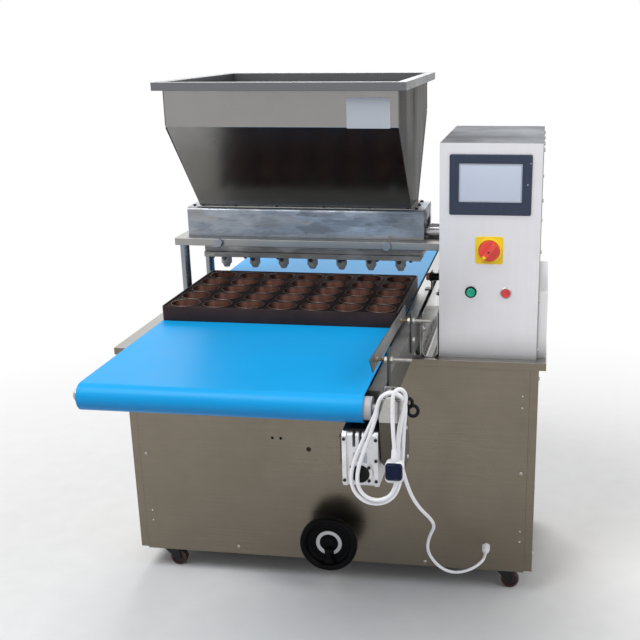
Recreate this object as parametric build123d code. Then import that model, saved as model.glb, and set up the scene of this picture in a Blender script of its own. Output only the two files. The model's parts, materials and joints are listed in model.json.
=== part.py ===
"""Cupcake filling machine: a hopper and pump head over a belt conveyor, on a cabinet with casters.

Millimetres, +Z up, +X to the operator's right, +Y towards the back of the machine.
The origin is on the floor, below the middle of the machine's outline.
"""

from build123d import *
import math
import os

# Sheet metal and clearances
SHEET = 2.0
RUN_FIT = 0.05          # radial play of a shaft in its bore
SLIP = 0.3              # play between pieces that pass each other
BORE_PLAY = 0.4         # radial play of a rod or screw in a plain hole
HOLE_ROOM = 2.0         # radial room round a shaft in a wall that doesn't carry it

# Widths across the machine, from left to right; the cabinet is as wide as they add up to
LEFT_MARGIN = 191.0     # cabinet's left side to the belt
BELT_W = 600.0
SIDE_GAP = 4.0          # belt's edge to a side of the conveyor frame
CHANNEL_W = 29.0
TROUGH_ROOM = 49.0      # conveyor's right side to the control box
BOX_W = 254.0
RIGHT_MARGIN = 9.0      # control box to the cabinet's right side
CAB_W = LEFT_MARGIN + BELT_W + SIDE_GAP + CHANNEL_W + TROUGH_ROOM + BOX_W + RIGHT_MARGIN
BELT_X0 = LEFT_MARGIN - CAB_W / 2
BELT_X1 = BELT_X0 + BELT_W
LINE_X = (BELT_X0 + BELT_X1) / 2            # centre line of conveyor, tray and head
WEB_X = BELT_X1 + SIDE_GAP + CHANNEL_W      # outer face of the conveyor's right channel
BOX_X0 = WEB_X + TROUGH_ROOM
BOX_X1 = BOX_X0 + BOX_W

# Cabinet
CAB_D = 500.0
CAB_FRONT = -86.0       # face of the front panel
CAB_Z0 = 72.0           # underside of the base frame
DECK_TOP = 692.0
DECK_LIP = 20.0         # height of the deck's folded edge
DECK_OVER = 18.0        # how far the deck stands out past the panels
PAN = 22.0              # depth of the side panels' folded rim
PAN_SHORT = 4.0         # the side panels end this much short of the front panel
ANGLE = 40.0            # leg of the frame's angle iron
ANGLE_T = 4.0
PANEL_TOP = DECK_TOP - DECK_LIP
CAB_BACK = CAB_FRONT + CAB_D
FRAME_X = CAB_W / 2 - PAN
FRAME_Y0 = CAB_FRONT + SHEET
FRAME_Y1 = CAB_BACK - SHEET
FRAME_TOP = DECK_TOP - SHEET
SPARE_HOLES = ((-156.0, 440.0, 4.0), (-132.0, 440.0, 4.0), (-54.0, 411.0, 7.0))
LOUVRE_W = 150.0
LOUVRE_H = 6.0
LOUVRE_PITCH = 20.0
LOUVRE_ROWS = 6
LOUVRE_LIFT = 250.0     # lowest slot above the cabinet's underside
BOX_LOUVRE_DROP = 139.0 # lowest slot below the control box's top

# Control box on the right of the deck
BOX_FRONT = CAB_FRONT + 10.0
BOX_BACK = CAB_BACK - 5.0
BOX_H = 555.0
BOX_TOP = DECK_TOP + BOX_H
BOX_LIP = 16.0
BOX_MID = (BOX_X0 + BOX_X1) / 2
DUCT_T = 23.0           # low duct on the right side
DUCT_Y0 = BOX_FRONT + 16.0
DUCT_Y1 = BOX_FRONT + 376.0
DUCT_H = 180.0

# Touch panel, main switch and push buttons
HMI_W = 204.0
HMI_H = 150.0
HMI_PROUD = 8.0
HMI_TOP = BOX_TOP - 27.0
HMI_BODY_INSET = 7.0
HMI_PLAY = 1.0
HMI_BODY_D = 40.0
HMI_CUT = 3.0           # cut corners of the bezel
SCREEN_W = 158.0
SCREEN_H = 89.0
SCREEN_DROP = 25.0      # from the bezel's top edge to the screen
SCREEN_DEEP = 1.5
SWITCH_Z = DECK_TOP + 288.0
SWITCH_PLATE = 70.0
SWITCH_PLATE_T = 4.0
SWITCH_KNOB_R = 26.0
SWITCH_KNOB_T = 10.0
SWITCH_GRIP = (46.0, 13.0, 15.0)
SWITCH_GRIP_TURN = 50.0
SWITCH_STEM_R = 6.0
SWITCH_STEM_LEN = 40.0
BUTTON_Z = DECK_TOP + 178.0
BUTTON_GAP = 90.0
BUTTON_R = 11.0
BUTTON_PROUD = 10.0
BUTTON_TRAVEL = 4.0
BUTTON_STEM_R = 8.0
BUTTON_STEM_LEN = 34.0
BEZEL_R = 15.0
BEZEL_T = 5.0
PANEL_HOLE_R = BUTTON_R + BORE_PLAY

# Baking tray
TRAY_W = 600.0
TRAY_D = 400.0
TRAY_H = 38.0
TRAY_FRONT = CAB_FRONT - 171.0
CUP_COLS = 7
CUP_ROWS = 5
CUP_PITCH_X = 84.0
CUP_PITCH_Y = 77.0
CUP_R = 35.0
CUP_FLOOR_R = 30.0
CUP_DEEP = 33.0
CUP_SIDES = 16          # flat sides of a cup's wall
TRAY_CORNER = 8.0

# Belt conveyor
BELT_TOP = DECK_TOP + 128.0
BELT_T = 2.7
NOSE_R = 30.0           # over the belt
NOSE_FRONT = -750.0
ROLLER_SHAFT_R = 10.0
ROLLER_Z = BELT_TOP - NOSE_R
ROLLER_FRONT = NOSE_FRONT + NOSE_R
ROLLER_R = NOSE_R - BELT_T - SLIP
CAP_LEN = 18.0          # end cap of a roller, beside the belt
CAP_R = 24.0
SIDE_T = 4.0
CHANNEL_Z0 = BELT_TOP - 82.0
CHANNEL_TOP = BELT_TOP - 2.0
WEB_END_R = 26.0
WEB_LIFT = 8.0          # the web is this much higher than the flange at its ends
FLANGE_STOP = 65.0      # the flanges stop this far behind the nose
LEFT_TOP = BELT_TOP - 12.0
LEFT_END_R = 17.0
BED_T = 4.0
BED_STOP = 66.0
BED_SHY = 2.0           # bed and rollers end this far inside the belt's edges
BAR_W = 20.0
BAR_H = 30.0
BAR_COUNT = 3
FOOT_W = 40.0
FOOT_REACH = 34.0
FOOT_YS = (CAB_FRONT + 24.0, CAB_BACK - 84.0)
FOOT_TOP = BELT_TOP - 20.0
LEFT_X = BELT_X0 - SIDE_GAP - SIDE_T        # outer face of the left plate

# Drive of the conveyor: worm gearbox, motor, belt and guard
GEARBOX_W = 74.0
GEARBOX_D = 100.0
GEARBOX_H = 121.5
GEARBOX_FRONT = NOSE_FRONT + 8.0
GEARBOX_X1 = WEB_X - SIDE_T
OUTPUT_DROP = 50.0      # from the gearbox's top to its output shaft
CENTRES = 40.0          # worm shaft below the output shaft
GEARBOX_TOP = CHANNEL_Z0 + 7.5
HANGER_DROP = 30.0
OUTPUT_Z = GEARBOX_TOP - OUTPUT_DROP
OUTPUT_Y = GEARBOX_FRONT + GEARBOX_D / 2
WORM_Z = OUTPUT_Z - CENTRES
GEARBOX_X = GEARBOX_X1 - GEARBOX_W / 2
OUTPUT_R = 9.0
FLANGE_PLATE = 9.0
WORM_CAP_R = 19.0
GEARBOX_STEP = 5.0      # flange plates stand out this far past the body
GEARBOX_CUT = 9.0
FIN_SLOT = 6.0
FIN_PITCH = 13.0
FIN_DEEP = 34.0
MOTOR_R = 50.0
MOTOR_LEN = 130.0
FAN_LEN = 46.0
MOTOR_RIBS = 12
RIB_H = 4.0
RIB_W = 3.0
MOTOR_FLANGE = 10.0
TERMINAL_BOX = (76.0, 40.0, 68.0)
PULLEY_X = WEB_X + 24.0
PULLEY_W = 20.0
ROLLER_PULLEY_R = 17.0
OUTPUT_PULLEY_R = 21.0
DRIVE_BELT_W = 14.0
DRIVE_BELT_T = 4.0
GUARD_W = 48.0
GUARD_R_TOP = 29.5
GUARD_R_LOW = 36.0
PEG_X = WEB_X + 27.0    # bolt that carries the rolled-up cord
PEG_Z = ROLLER_Z + 36.0
PEG_R = 8.0
PEG_FROM = ROLLER_FRONT - 10.0
PEG_TIP = NOSE_FRONT - 30.0
PEG_LUG = 18.0
PEG_LUG_TOP = 16.0
PEG_HEAD_R = 12.0
PEG_HEAD_T = 6.0
NOSE_REAR = -PEG_TIP    # keeps the machine's outline centred on the origin
ROLLER_REAR = NOSE_REAR - NOSE_R

# Side guide on two threaded rods
GUIDE_X = BELT_X1 + 6.0
GUIDE_T = 2.5
GUIDE_Y0 = NOSE_FRONT + 49.0
GUIDE_Y1 = TRAY_FRONT + 79.0
GUIDE_PROFILE = (
    (GUIDE_Y0, BELT_TOP + 64.0), (GUIDE_Y1, BELT_TOP + 38.0),
    (GUIDE_Y1, BELT_TOP + 6.0), (GUIDE_Y0 + 37.0, BELT_TOP + 26.0),
)
GUIDE_RODS = ((GUIDE_Y0 + 73.0, BELT_TOP + 43.0), (GUIDE_Y1 - 94.0, BELT_TOP + 25.0))
GUIDE_ROD_R = 4.0
GUIDE_ROD_END = WEB_X + 50.0
GUIDE_BOSS_R = 7.0
GUIDE_BOSS_T = 4.0
BRACKET_W = 24.0
BRACKET_T = 4.0
BRACKET_ABOVE = 24.0
BRACKET_FOOT_Z = BELT_TOP - 54.0
BRACKET_BOLT_Z = BELT_TOP - 24.0
NUT_R = 7.5
NUT_T = 6.5

# Tray sensor
SENSOR_Y = CAB_FRONT + 231.0
SENSOR_Z = BELT_TOP + 35.0
SENSOR_R = 9.0
SENSOR_X0 = BELT_X1 + 24.0
SENSOR_LEN = 56.0
SENSOR_NUT_R = 13.5
SENSOR_NUT_T = 4.0
SENSOR_PLATE_X = WEB_X + 4.5
SENSOR_PLATE_T = 3.0
SENSOR_PLATE_W = 26.0
SENSOR_PLATE_TOP = SENSOR_Z + 17.0
SENSOR_FOOT = 20.0

# Trough between the conveyor and the control box
TROUGH_X0 = WEB_X + 6.0
TROUGH_X1 = BOX_X0 - 2.0
TROUGH_TOP = BELT_TOP - 8.0
TROUGH_R = 15.0
TROUGH_Y0 = CAB_FRONT + 2.0
TROUGH_Y1 = BOX_BACK - 19.0

# Head: frame plate, pump housing, nozzles and hopper
HEAD_Y = CAB_FRONT + 221.0
POST_R = 12.5
POST_X = (LEFT_X - 29.0, BOX_X0 + 45.0)
POST_Y = (HEAD_Y - 100.0, HEAD_Y + 100.0)
POST_EDGE = 20.0        # posts' centres to the edge of the frame plate
FRAME_T = 20.0
HEAD_FRAME_X0 = POST_X[0] - POST_EDGE
HEAD_FRAME_X1 = POST_X[1] + POST_EDGE
HEAD_FRAME_Y0 = POST_Y[0] - POST_EDGE
HEAD_FRAME_Y1 = POST_Y[1] + POST_EDGE
NOZZLE_PITCH = CUP_PITCH_X
NOZZLE_COUNT = CUP_COLS
NOZZLE_R = 15.0
NOZZLE_TIP_R = 8.0
NOZZLE_H = 44.0
NOZZLE_CONE = 16.0
NOZZLE_BORE_R = 5.0
OUTLET_R = 7.0
NOZZLE_ROW = NOZZLE_PITCH * (NOZZLE_COUNT - 1)
NOZZLE_BAR_D = 150.0
NOZZLE_BAR_H = 60.0
TIP_ROOM = 14.0         # nozzle tips above the tray
HOUSING_Z = BELT_TOP + TRAY_H + TIP_ROOM + NOZZLE_H + NOZZLE_BAR_H     # joint of frame plate and housing
HOUSING_W = NOZZLE_ROW + 152.0
HOUSING_D = 170.0
HOUSING_H = 80.0
HOUSING_R = 10.0
HOUSING_X0 = LINE_X - HOUSING_W / 2
HOUSING_X1 = LINE_X + HOUSING_W / 2
PUMP_R = 36.0
PUMP_LEN = NOZZLE_ROW + 66.0
PUMP_GAP = 1.0          # between the two rollers
PUMP_PLAY = 1.5         # rollers to housing
PUMP_Z = HOUSING_Z + 14.0
PUMP_FLUTES = 8
FLUTE_R = 6.0
PUMP_SHAFT_R = 10.0
PUMP_JOURNAL = 28.0
PUMP_YS = (HEAD_Y - PUMP_R - PUMP_GAP / 2, HEAD_Y + PUMP_R + PUMP_GAP / 2)
PUMP_X0 = LINE_X - PUMP_LEN / 2
PUMP_X1 = LINE_X + PUMP_LEN / 2
COUPLING_R = 13.0
COUPLING_X0 = HOUSING_X1 + 7.0
COUPLING_LEN = 40.0
FEED_W = 120.0          # slot from the hopper down to the rollers
END_RECESS = (120.0, 44.0, 6.0)
BAR_X0 = LINE_X - NOZZLE_ROW / 2 - 39.0
BAR_X1 = LINE_X + NOZZLE_ROW / 2 + 65.0
BAR_WINDOW = 3.0        # play round the nozzle bar in the frame plate
BAR_LIP = 14.0          # height of the nozzle bar's wide foot
BAR_STEP = 8.0          # how far the bar steps in over its foot, at front and back
OUTLET_W = 20.0
OUTLET_Z = HOUSING_Z - 38.0
KNOB_X = 232.0
KNOB_R = 12.5
KNOB_T = 11.0
HOPPER_W = NOZZLE_ROW + 79.0
HOPPER_D = 582.0
HOPPER_RIM = 22.0
HOPPER_FOLD = 20.0
HOPPER_TAPER = 234.0
HOPPER_BAND = 107.0
HOPPER_FOOT = 10.0      # foot flange at the ends, and at front and back
HOPPER_FOOT_Y = 7.0
HOPPER_FOOT_T = 3.0
HOPPER_NECK_D = 150.0
HOPPER_Z0 = HOUSING_Z + HOUSING_H
HOPPER_BAND_Z = HOPPER_Z0 + HOPPER_TAPER
HOPPER_TOP = HOPPER_BAND_Z + HOPPER_BAND

# Lift of the head: posts, yoke, screw, bevel gears and handwheel
BUSH_R = 20.0
BUSH_FLANGE = 28.0      # half the width of the flange
BUSH_FLANGE_T = 8.0
BUSH_BODY = 52.0
YOKE_TOP = DECK_TOP - 362.0
YOKE_H = 30.0
YOKE_W = 40.0
NUT_BLOCK_R = 22.0
NUT_BLOCK_H = 26.0
SCREW_X = 10.0
SCREW_Y = HEAD_Y
SCREW_R = 10.0
SCREW_TOP = FRAME_TOP - 10.0
JOURNAL_LEN = 20.0
JOURNAL_R = 8.0
CRANK_Z = CAB_Z0 + 90.0
CRANK_R = 10.0
GEAR_TEETH = 16
GEAR_PITCH_R = 30.0
GEAR_FACE = 9.0
GEAR_TIP = 1.10         # tip, root and pitch cones as shares of the pitch radius
GEAR_ROOT = 0.84
TOOTH_TIP = 0.10        # half a tooth's width at tip and root, as shares of the pitch
TOOTH_FOOT = 0.29
GEAR_HUB_R = 20.0
GEAR_HUB = 15.0
FLOOR_PLATE_W = 140.0
FLOOR_PLATE_T = 6.0
BEARING_R = 30.0
BEARING_T = 22.0
BEARING_GAP = 2.0       # bearings to the shoulders beside them
FOOT_BEARING_R = 26.0
SEAT_T = 0.7            # floor of the screw's foot bearing
PILLOW_HALF = 24.0
SHAFT_PROUD = 2.0       # shaft's end before the wheel's web
WHEEL_R = 80.0
WHEEL_RIM = 18.0
WHEEL_FACE = CAB_FRONT - 82.0
WHEEL_BACK = CAB_FRONT - 56.0
WEB_FACE = CAB_FRONT - 64.0
HUB_R = 19.0
HUB_BACK = CAB_FRONT - 18.0
RING_R1 = 36.5
RING_R0 = 26.0
RING_T = 3.0
HANDLE_R = 9.0
HANDLE_TIP = 12.0       # radii of the handle's tip and pivot from the wheel's centre
HANDLE_PIVOT = 50.0
HANDLE_Y = WEB_FACE - HANDLE_R - 1.0
HANDLE_PIN_R = 3.0
LUG_T = 4.0

# Pump drive inside the control box
GEARCASE_X0 = BOX_X0 + 15.0
GEARCASE = (72.0, 126.0, 70.0)
GEARCASE_BORE = 26.0
PUMP_SHAFT_END = GEARCASE_X0 + GEARCASE_BORE - 3.0
SERVO = 80.0
SERVO_LEN = 128.0
SERVO_FLANGE = 10.0
SERVO_CUT = 7.0
WINDOW_Y = (HEAD_FRAME_Y0 - 11.0, HEAD_FRAME_Y1 + 11.0)
WINDOW_Z = (HOUSING_Z - 42.0, HOUSING_Z + 114.0)

# Electrical plate inside the control box
PLATE_SPACER = 8.0
PLATE_SPACER_IN = 15.0  # spacers from the plate's edges
PLATE_T = 3.0
PLATE_MARGIN = 20.0
PLATE_H = 325.0
PLATE_FLOOR = 60.0
UNITS = ((10.0, 80.0, 120.0, 190.0, 95.0), (110.0, 90.0, 135.0, 170.0, 80.0), (12.0, 190.0, 30.0, 70.0, 55.0))

# Casters
CASTER_X = FRAME_X - 56.0
CASTER_Y = (FRAME_Y0 + 44.0, FRAME_Y1 - 44.0)
CASTER_R = 25.0
CASTER_W = 22.0
CASTER_TRAIL = 18.0
CASTER_PAD = 84.0
CASTER_PAD_T = 8.0
FORK_T = 3.0
FORK_GAP = 1.5
FORK_CROWN = 22.0
FORK_CROWN_Z = 56.0
FORK_FOOT = 9.0
AXLE_R = 4.0
KING_R = 6.0
BRAKE = (26.0, 18.0, 5.0)
CASTERS = (
    ("front_left", -CASTER_X, CASTER_Y[0], 0.0, True),
    ("front_right", CASTER_X, CASTER_Y[0], 0.0, True),
    ("rear_left", -CASTER_X, CASTER_Y[1], 90.0, False),
    ("rear_right", CASTER_X, CASTER_Y[1], 90.0, False),
)

# Power cord
CORD_R = 4.0
CORD_SIDES = 6
ARC_SHARE = 0.45
GLAND_X = 441.0
GLAND_Z = 145.0
GLAND_R = 12.0
GLAND_DOME_R = 9.5
GLAND_NUT = 12.0
GLAND_TIP = CAB_FRONT - 32.0
GLAND_THREAD_R = 8.0
CORD_TAIL = (
    (441, -118, 145), (441, -143, 145), (433, -167, 142), (411, -186, 132), (378, -194, 122),
    (348, -199, 125), (322, -211, 146), (300, -232, 187), (297, -272, 239), (312, -335, 306),
    (331, -405, 368), (330, -480, 427), (316, -560, 490), (306, -632, 555), (302, -692, 618),
    (300, -738, 672), (294, -758, 728),
)
HANK_TOP = (PEG_X, PEG_Z, 26.0)     # x, z and outer radius of the two round ends of the hank
HANK_LOW = (248.0, 650.0, 52.0)
HANK_BAND = 17.0
HANK_Y = (-770.0, -751.0)
PLUG_X = (273.0, 310.0)
PLUG_Z = (657.0, 709.0)
PLUG_T = 30.0
PLUG_CUT = 7.0
PLUG_NECK_R = 7.0
PLUG_NECK = 22.0


def block(x0, x1, y0, y1, z0, z1):
    """A rectangular solid between two corners."""
    return Pos((x0 + x1) / 2, (y0 + y1) / 2, (z0 + z1) / 2) * Box(x1 - x0, y1 - y0, z1 - z0)


def rod_x(x0, x1, y, z, r):
    return Pos((x0 + x1) / 2, y, z) * Rot(0, 90, 0) * Cylinder(r, x1 - x0)


def rod_y(y0, y1, x, z, r):
    return Pos(x, (y0 + y1) / 2, z) * Rot(90, 0, 0) * Cylinder(r, y1 - y0)


def rod_z(z0, z1, x, y, r):
    return Pos(x, y, (z0 + z1) / 2) * Cylinder(r, z1 - z0)


def prism_x(sketch, x0, x1):
    """A sketch in Y and Z, pulled from x0 to x1."""
    return extrude(Plane.YZ.offset(x0) * sketch, amount=x1 - x0, dir=(1, 0, 0))


def prism_y(sketch, y0, y1):
    """A sketch in X and Z, pulled from y0 to y1."""
    return extrude(Plane.XZ.offset(-y0) * sketch, amount=y1 - y0, dir=(0, 1, 0))


def prism_z(sketch, z0, z1):
    return extrude(Plane.XY.offset(z0) * sketch, amount=z1 - z0, dir=(0, 0, 1))


def pulley_hull(c1, r1, c2, r2):
    """The outline of a tight band round two circles."""
    return make_hull((Pos(*c1) * Circle(r1) + Pos(*c2) * Circle(r2)).edges())


def hex_x(x0, x1, y, z, r):
    """A hexagon nut or bolt head along X, of corner radius r."""
    return prism_x(Pos(y, z) * RegularPolygon(r, 6), x0, x1)


def chamfered(width, height, cut):
    """A rectangle with its four corners cut off."""
    sketch = Rectangle(width, height)
    return chamfer(sketch.vertices(), cut)


def flat_cone(r0, r1, height):
    """A flat-sided cone on the origin, of radius r0 at its foot and r1 at its top."""
    foot = Plane.XY * RegularPolygon(r0, CUP_SIDES)
    top = Plane.XY.offset(height) * RegularPolygon(r1, CUP_SIDES)
    return loft([foot, top], ruled=True)


def group(*pieces):
    """Separate solids in one node."""
    return Compound(children=[solid for piece in pieces for solid in piece.solids()])


def angle_ring(z_flange, z0, z1):
    """A rectangle of angle iron: an upright leg from z0 to z1 and a level leg at z_flange."""
    upright = block(-FRAME_X, FRAME_X, FRAME_Y0, FRAME_Y1, z0, z1) - block(
        ANGLE_T - FRAME_X, FRAME_X - ANGLE_T, FRAME_Y0 + ANGLE_T, FRAME_Y1 - ANGLE_T, z0, z1
    )
    level = block(-FRAME_X, FRAME_X, FRAME_Y0, FRAME_Y1, z_flange, z_flange + ANGLE_T) - block(
        ANGLE - FRAME_X, FRAME_X - ANGLE, FRAME_Y0 + ANGLE, FRAME_Y1 - ANGLE, z_flange, z_flange + ANGLE_T
    )
    return upright + level


def base_frame():
    frame = angle_ring(CAB_Z0, CAB_Z0, CAB_Z0 + ANGLE)
    frame += angle_ring(FRAME_TOP - ANGLE_T, FRAME_TOP - ANGLE, FRAME_TOP)
    for sx in (-1, 1):
        for y_out, sy in ((FRAME_Y0, 1), (FRAME_Y1, -1)):
            x_out = sx * FRAME_X
            xs = sorted((x_out, x_out - sx * ANGLE))
            xt = sorted((x_out, x_out - sx * ANGLE_T))
            ys = sorted((y_out, y_out + sy * ANGLE))
            yt = sorted((y_out, y_out + sy * ANGLE_T))
            frame += block(*xs, *yt, CAB_Z0, FRAME_TOP) + block(*xt, *ys, CAB_Z0, FRAME_TOP)
    half = FLOOR_PLATE_W / 2
    frame += block(SCREW_X - half, SCREW_X + half, FRAME_Y0, FRAME_Y1, CAB_Z0, CAB_Z0 + FLOOR_PLATE_T)
    for _, x, y, _, _ in CASTERS:
        half = CASTER_PAD / 2
        frame += block(x - half, x + half, y - half, y + half, CAB_Z0, CAB_Z0 + CASTER_PAD_T)
        frame -= rod_z(CAB_Z0, CAB_Z0 + CASTER_PAD_T, x, y, KING_R + RUN_FIT)
    return frame


def front_panel():
    sheet = block(-FRAME_X, FRAME_X, CAB_FRONT, FRAME_Y0, CAB_Z0, PANEL_TOP)
    holes = ((SCREW_X, CRANK_Z, CRANK_R + HOLE_ROOM), (GLAND_X, GLAND_Z, GLAND_THREAD_R), *SPARE_HOLES)
    for x, z, r in holes:
        sheet -= rod_y(CAB_FRONT, FRAME_Y0, x, z, r)
    return sheet


def side_panel(side):
    """A folded pan; side is -1 for the left and 1 for the right."""
    outer, inner = side * CAB_W / 2, side * FRAME_X
    skin = outer - side * SHEET
    z0, z1 = CAB_Z0 + PAN_SHORT, PANEL_TOP - PAN_SHORT
    pan = block(*sorted((outer, inner)), CAB_FRONT, CAB_BACK, z0, z1)
    hollow = block(
        *sorted((skin, inner)), CAB_FRONT + SHEET, CAB_BACK - SHEET, z0 + SHEET, z1 - SHEET
    )
    return pan - hollow


def louvres(x, y, z, rows):
    """Slots through a wall that faces Y."""
    slot = Pos(x, y, z) * Box(LOUVRE_W, 4 * SHEET, LOUVRE_H)
    return [Pos(0, 0, LOUVRE_PITCH * i) * slot for i in range(rows)]


def back_panel():
    sheet = block(-FRAME_X, FRAME_X, FRAME_Y1, CAB_BACK, CAB_Z0, PANEL_TOP)
    for x in (-FRAME_X / 2, FRAME_X / 2):
        sheet -= louvres(x, CAB_BACK - SHEET / 2, CAB_Z0 + LOUVRE_LIFT, LOUVRE_ROWS)
    return sheet


def deck():
    x1 = CAB_W / 2 + DECK_OVER
    y0, y1 = CAB_FRONT - DECK_OVER, CAB_BACK + DECK_OVER
    tray = block(-x1, x1, y0, y1, PANEL_TOP, DECK_TOP)
    tray -= block(SHEET - x1, x1 - SHEET, y0 + SHEET, y1 - SHEET, PANEL_TOP, FRAME_TOP)
    for x in POST_X:
        for y in POST_Y:
            tray -= rod_z(FRAME_TOP, DECK_TOP, x, y, BUSH_R + SLIP)
    return tray


def control_box():
    """Front, left, top and back walls in one folded shell; the right wall is a cover of its own."""
    shell = block(BOX_X0, BOX_X1, BOX_FRONT, BOX_BACK, DECK_TOP, BOX_TOP)
    shell -= block(
        BOX_X0 + SHEET, BOX_X1 - SHEET, BOX_FRONT + SHEET, BOX_BACK - SHEET, DECK_TOP, BOX_TOP - SHEET
    )
    shell -= block(
        BOX_X1 - SHEET, BOX_X1, BOX_FRONT + BOX_LIP, BOX_BACK - BOX_LIP, DECK_TOP, BOX_TOP - BOX_LIP
    )
    shell -= block(BOX_X0, BOX_X0 + SHEET, *WINDOW_Y, *WINDOW_Z)
    inset = HMI_BODY_INSET - HMI_PLAY
    shell -= block(
        BOX_MID - HMI_W / 2 + inset, BOX_MID + HMI_W / 2 - inset, BOX_FRONT, BOX_FRONT + SHEET,
        HMI_TOP - HMI_H + inset, HMI_TOP - inset,
    )
    shell -= rod_y(BOX_FRONT, BOX_FRONT + SHEET, BOX_MID, SWITCH_Z, SWITCH_STEM_R + BORE_PLAY)
    for side in (-1, 1):
        x = BOX_MID + side * BUTTON_GAP / 2
        shell -= rod_y(BOX_FRONT, BOX_FRONT + SHEET, x, BUTTON_Z, PANEL_HOLE_R)
    shell -= louvres(BOX_MID, BOX_BACK - SHEET / 2, BOX_TOP - BOX_LOUVRE_DROP, LOUVRE_ROWS)
    return shell


def control_side_cover():
    return block(BOX_X1, BOX_X1 + SHEET, BOX_FRONT + SHEET, BOX_BACK, DECK_TOP, BOX_TOP)


def side_duct():
    x0 = BOX_X1 + SHEET
    shell = block(x0, x0 + DUCT_T, DUCT_Y0, DUCT_Y1, DECK_TOP, DECK_TOP + DUCT_H)
    rim = shell.faces().sort_by(Axis.X)[-1].edges()
    shell = chamfer(rim, SHEET)
    return shell - block(
        x0, x0 + DUCT_T - SHEET, DUCT_Y0 + SHEET, DUCT_Y1 - SHEET, DECK_TOP, DECK_TOP + DUCT_H - SHEET
    )


def hmi_sketch(width, height, top):
    return Pos(BOX_MID, top - height / 2) * chamfered(width, height, HMI_CUT)


def hmi_bezel():
    face = BOX_FRONT - HMI_PROUD
    bezel = prism_y(hmi_sketch(HMI_W, HMI_H, HMI_TOP), face, BOX_FRONT)
    bezel = chamfer(bezel.faces().sort_by(Axis.Y)[0].edges(), HMI_CUT / 2)
    body_w, body_h = HMI_W - 2 * HMI_BODY_INSET, HMI_H - 2 * HMI_BODY_INSET
    bezel += prism_y(
        hmi_sketch(body_w, body_h, HMI_TOP - HMI_BODY_INSET), BOX_FRONT, BOX_FRONT + HMI_BODY_D
    )
    screen = Pos(BOX_MID, HMI_TOP - SCREEN_DROP - SCREEN_H / 2) * Rectangle(SCREEN_W, SCREEN_H)
    return bezel - prism_y(screen, face, face + SCREEN_DEEP)


def hmi_screen():
    face = BOX_FRONT - HMI_PROUD
    screen = Pos(BOX_MID, HMI_TOP - SCREEN_DROP - SCREEN_H / 2) * Rectangle(SCREEN_W, SCREEN_H)
    return prism_y(screen, face + SCREEN_DEEP / 3, face + SCREEN_DEEP)


def switch_plate():
    plate = prism_y(
        Pos(BOX_MID, SWITCH_Z) * chamfered(SWITCH_PLATE, SWITCH_PLATE, SWITCH_PLATE_T),
        BOX_FRONT - SWITCH_PLATE_T, BOX_FRONT,
    )
    return plate - rod_y(
        BOX_FRONT - SWITCH_PLATE_T, BOX_FRONT, BOX_MID, SWITCH_Z, SWITCH_STEM_R + RUN_FIT
    )


def switch_knob():
    """A round knob with a bar grip that points to the upper right, on a stem through the plate."""
    back = BOX_FRONT - SWITCH_PLATE_T - SLIP
    face = back - SWITCH_KNOB_T
    length, width, height = SWITCH_GRIP
    grip = Pos(BOX_MID, SWITCH_Z) * Rot(0, 0, SWITCH_GRIP_TURN) * chamfered(length, width, width / 4)
    knob = rod_y(face, back, BOX_MID, SWITCH_Z, SWITCH_KNOB_R) + prism_y(grip, face - height, face)
    return knob + rod_y(back, BOX_FRONT + SWITCH_STEM_LEN, BOX_MID, SWITCH_Z, SWITCH_STEM_R)


def button_bezels():
    rings = []
    for side in (-1, 1):
        x = BOX_MID + side * BUTTON_GAP / 2
        ring = rod_y(BOX_FRONT - BEZEL_T, BOX_FRONT, x, BUTTON_Z, BEZEL_R)
        rings.append(ring - rod_y(BOX_FRONT - BEZEL_T, BOX_FRONT, x, BUTTON_Z, BUTTON_R + SLIP))
    return group(*rings)


def push_button(side):
    """A flat cap that slides in its bezel; its stem stands on the contact block's spring."""
    x = BOX_MID + side * BUTTON_GAP / 2
    face = BOX_FRONT - BUTTON_PROUD
    back = BOX_FRONT - BUTTON_TRAVEL - SLIP
    stem = Pos(x, BUTTON_Z) * RegularPolygon(BUTTON_STEM_R, 6)
    return rod_y(face, back, x, BUTTON_Z, BUTTON_R) + prism_y(stem, back, back + BUTTON_STEM_LEN)


def electrical_plate():
    """Mounting plate on four spacers at the back wall, with drive, supply and terminal units."""
    y1 = BOX_BACK - SHEET - PLATE_SPACER
    y0 = y1 - PLATE_T
    x0, x1 = BOX_X0 + PLATE_MARGIN, BOX_X1 - PLATE_MARGIN
    z0, z1 = DECK_TOP + PLATE_FLOOR, DECK_TOP + PLATE_FLOOR + PLATE_H
    pieces = [block(x0, x1, y0, y1, z0, z1)]
    for x in (x0 + PLATE_SPACER_IN, x1 - PLATE_SPACER_IN):
        for z in (z0 + PLATE_SPACER_IN, z1 - PLATE_SPACER_IN):
            spacer = Pos(x, z) * RegularPolygon(PLATE_SPACER, 6)
            pieces[0] += prism_y(spacer, y1, BOX_BACK - SHEET)
    for left, width, low, height, deep in UNITS:
        pieces.append(block(x0 + left, x0 + left + width, y0 - deep, y0, z0 + low, z0 + low + height))
    return group(*pieces)


def side_profile(z0, z1, end_r):
    """The outline of a conveyor side in Y and Z, with a round end at each roller."""
    body = Pos((ROLLER_FRONT + ROLLER_REAR) / 2, (z0 + z1) / 2) * Rectangle(
        ROLLER_REAR - ROLLER_FRONT, z1 - z0
    )
    for y in (ROLLER_FRONT, ROLLER_REAR):
        body += Pos(y, ROLLER_Z) * Circle(end_r)
    return body


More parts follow.
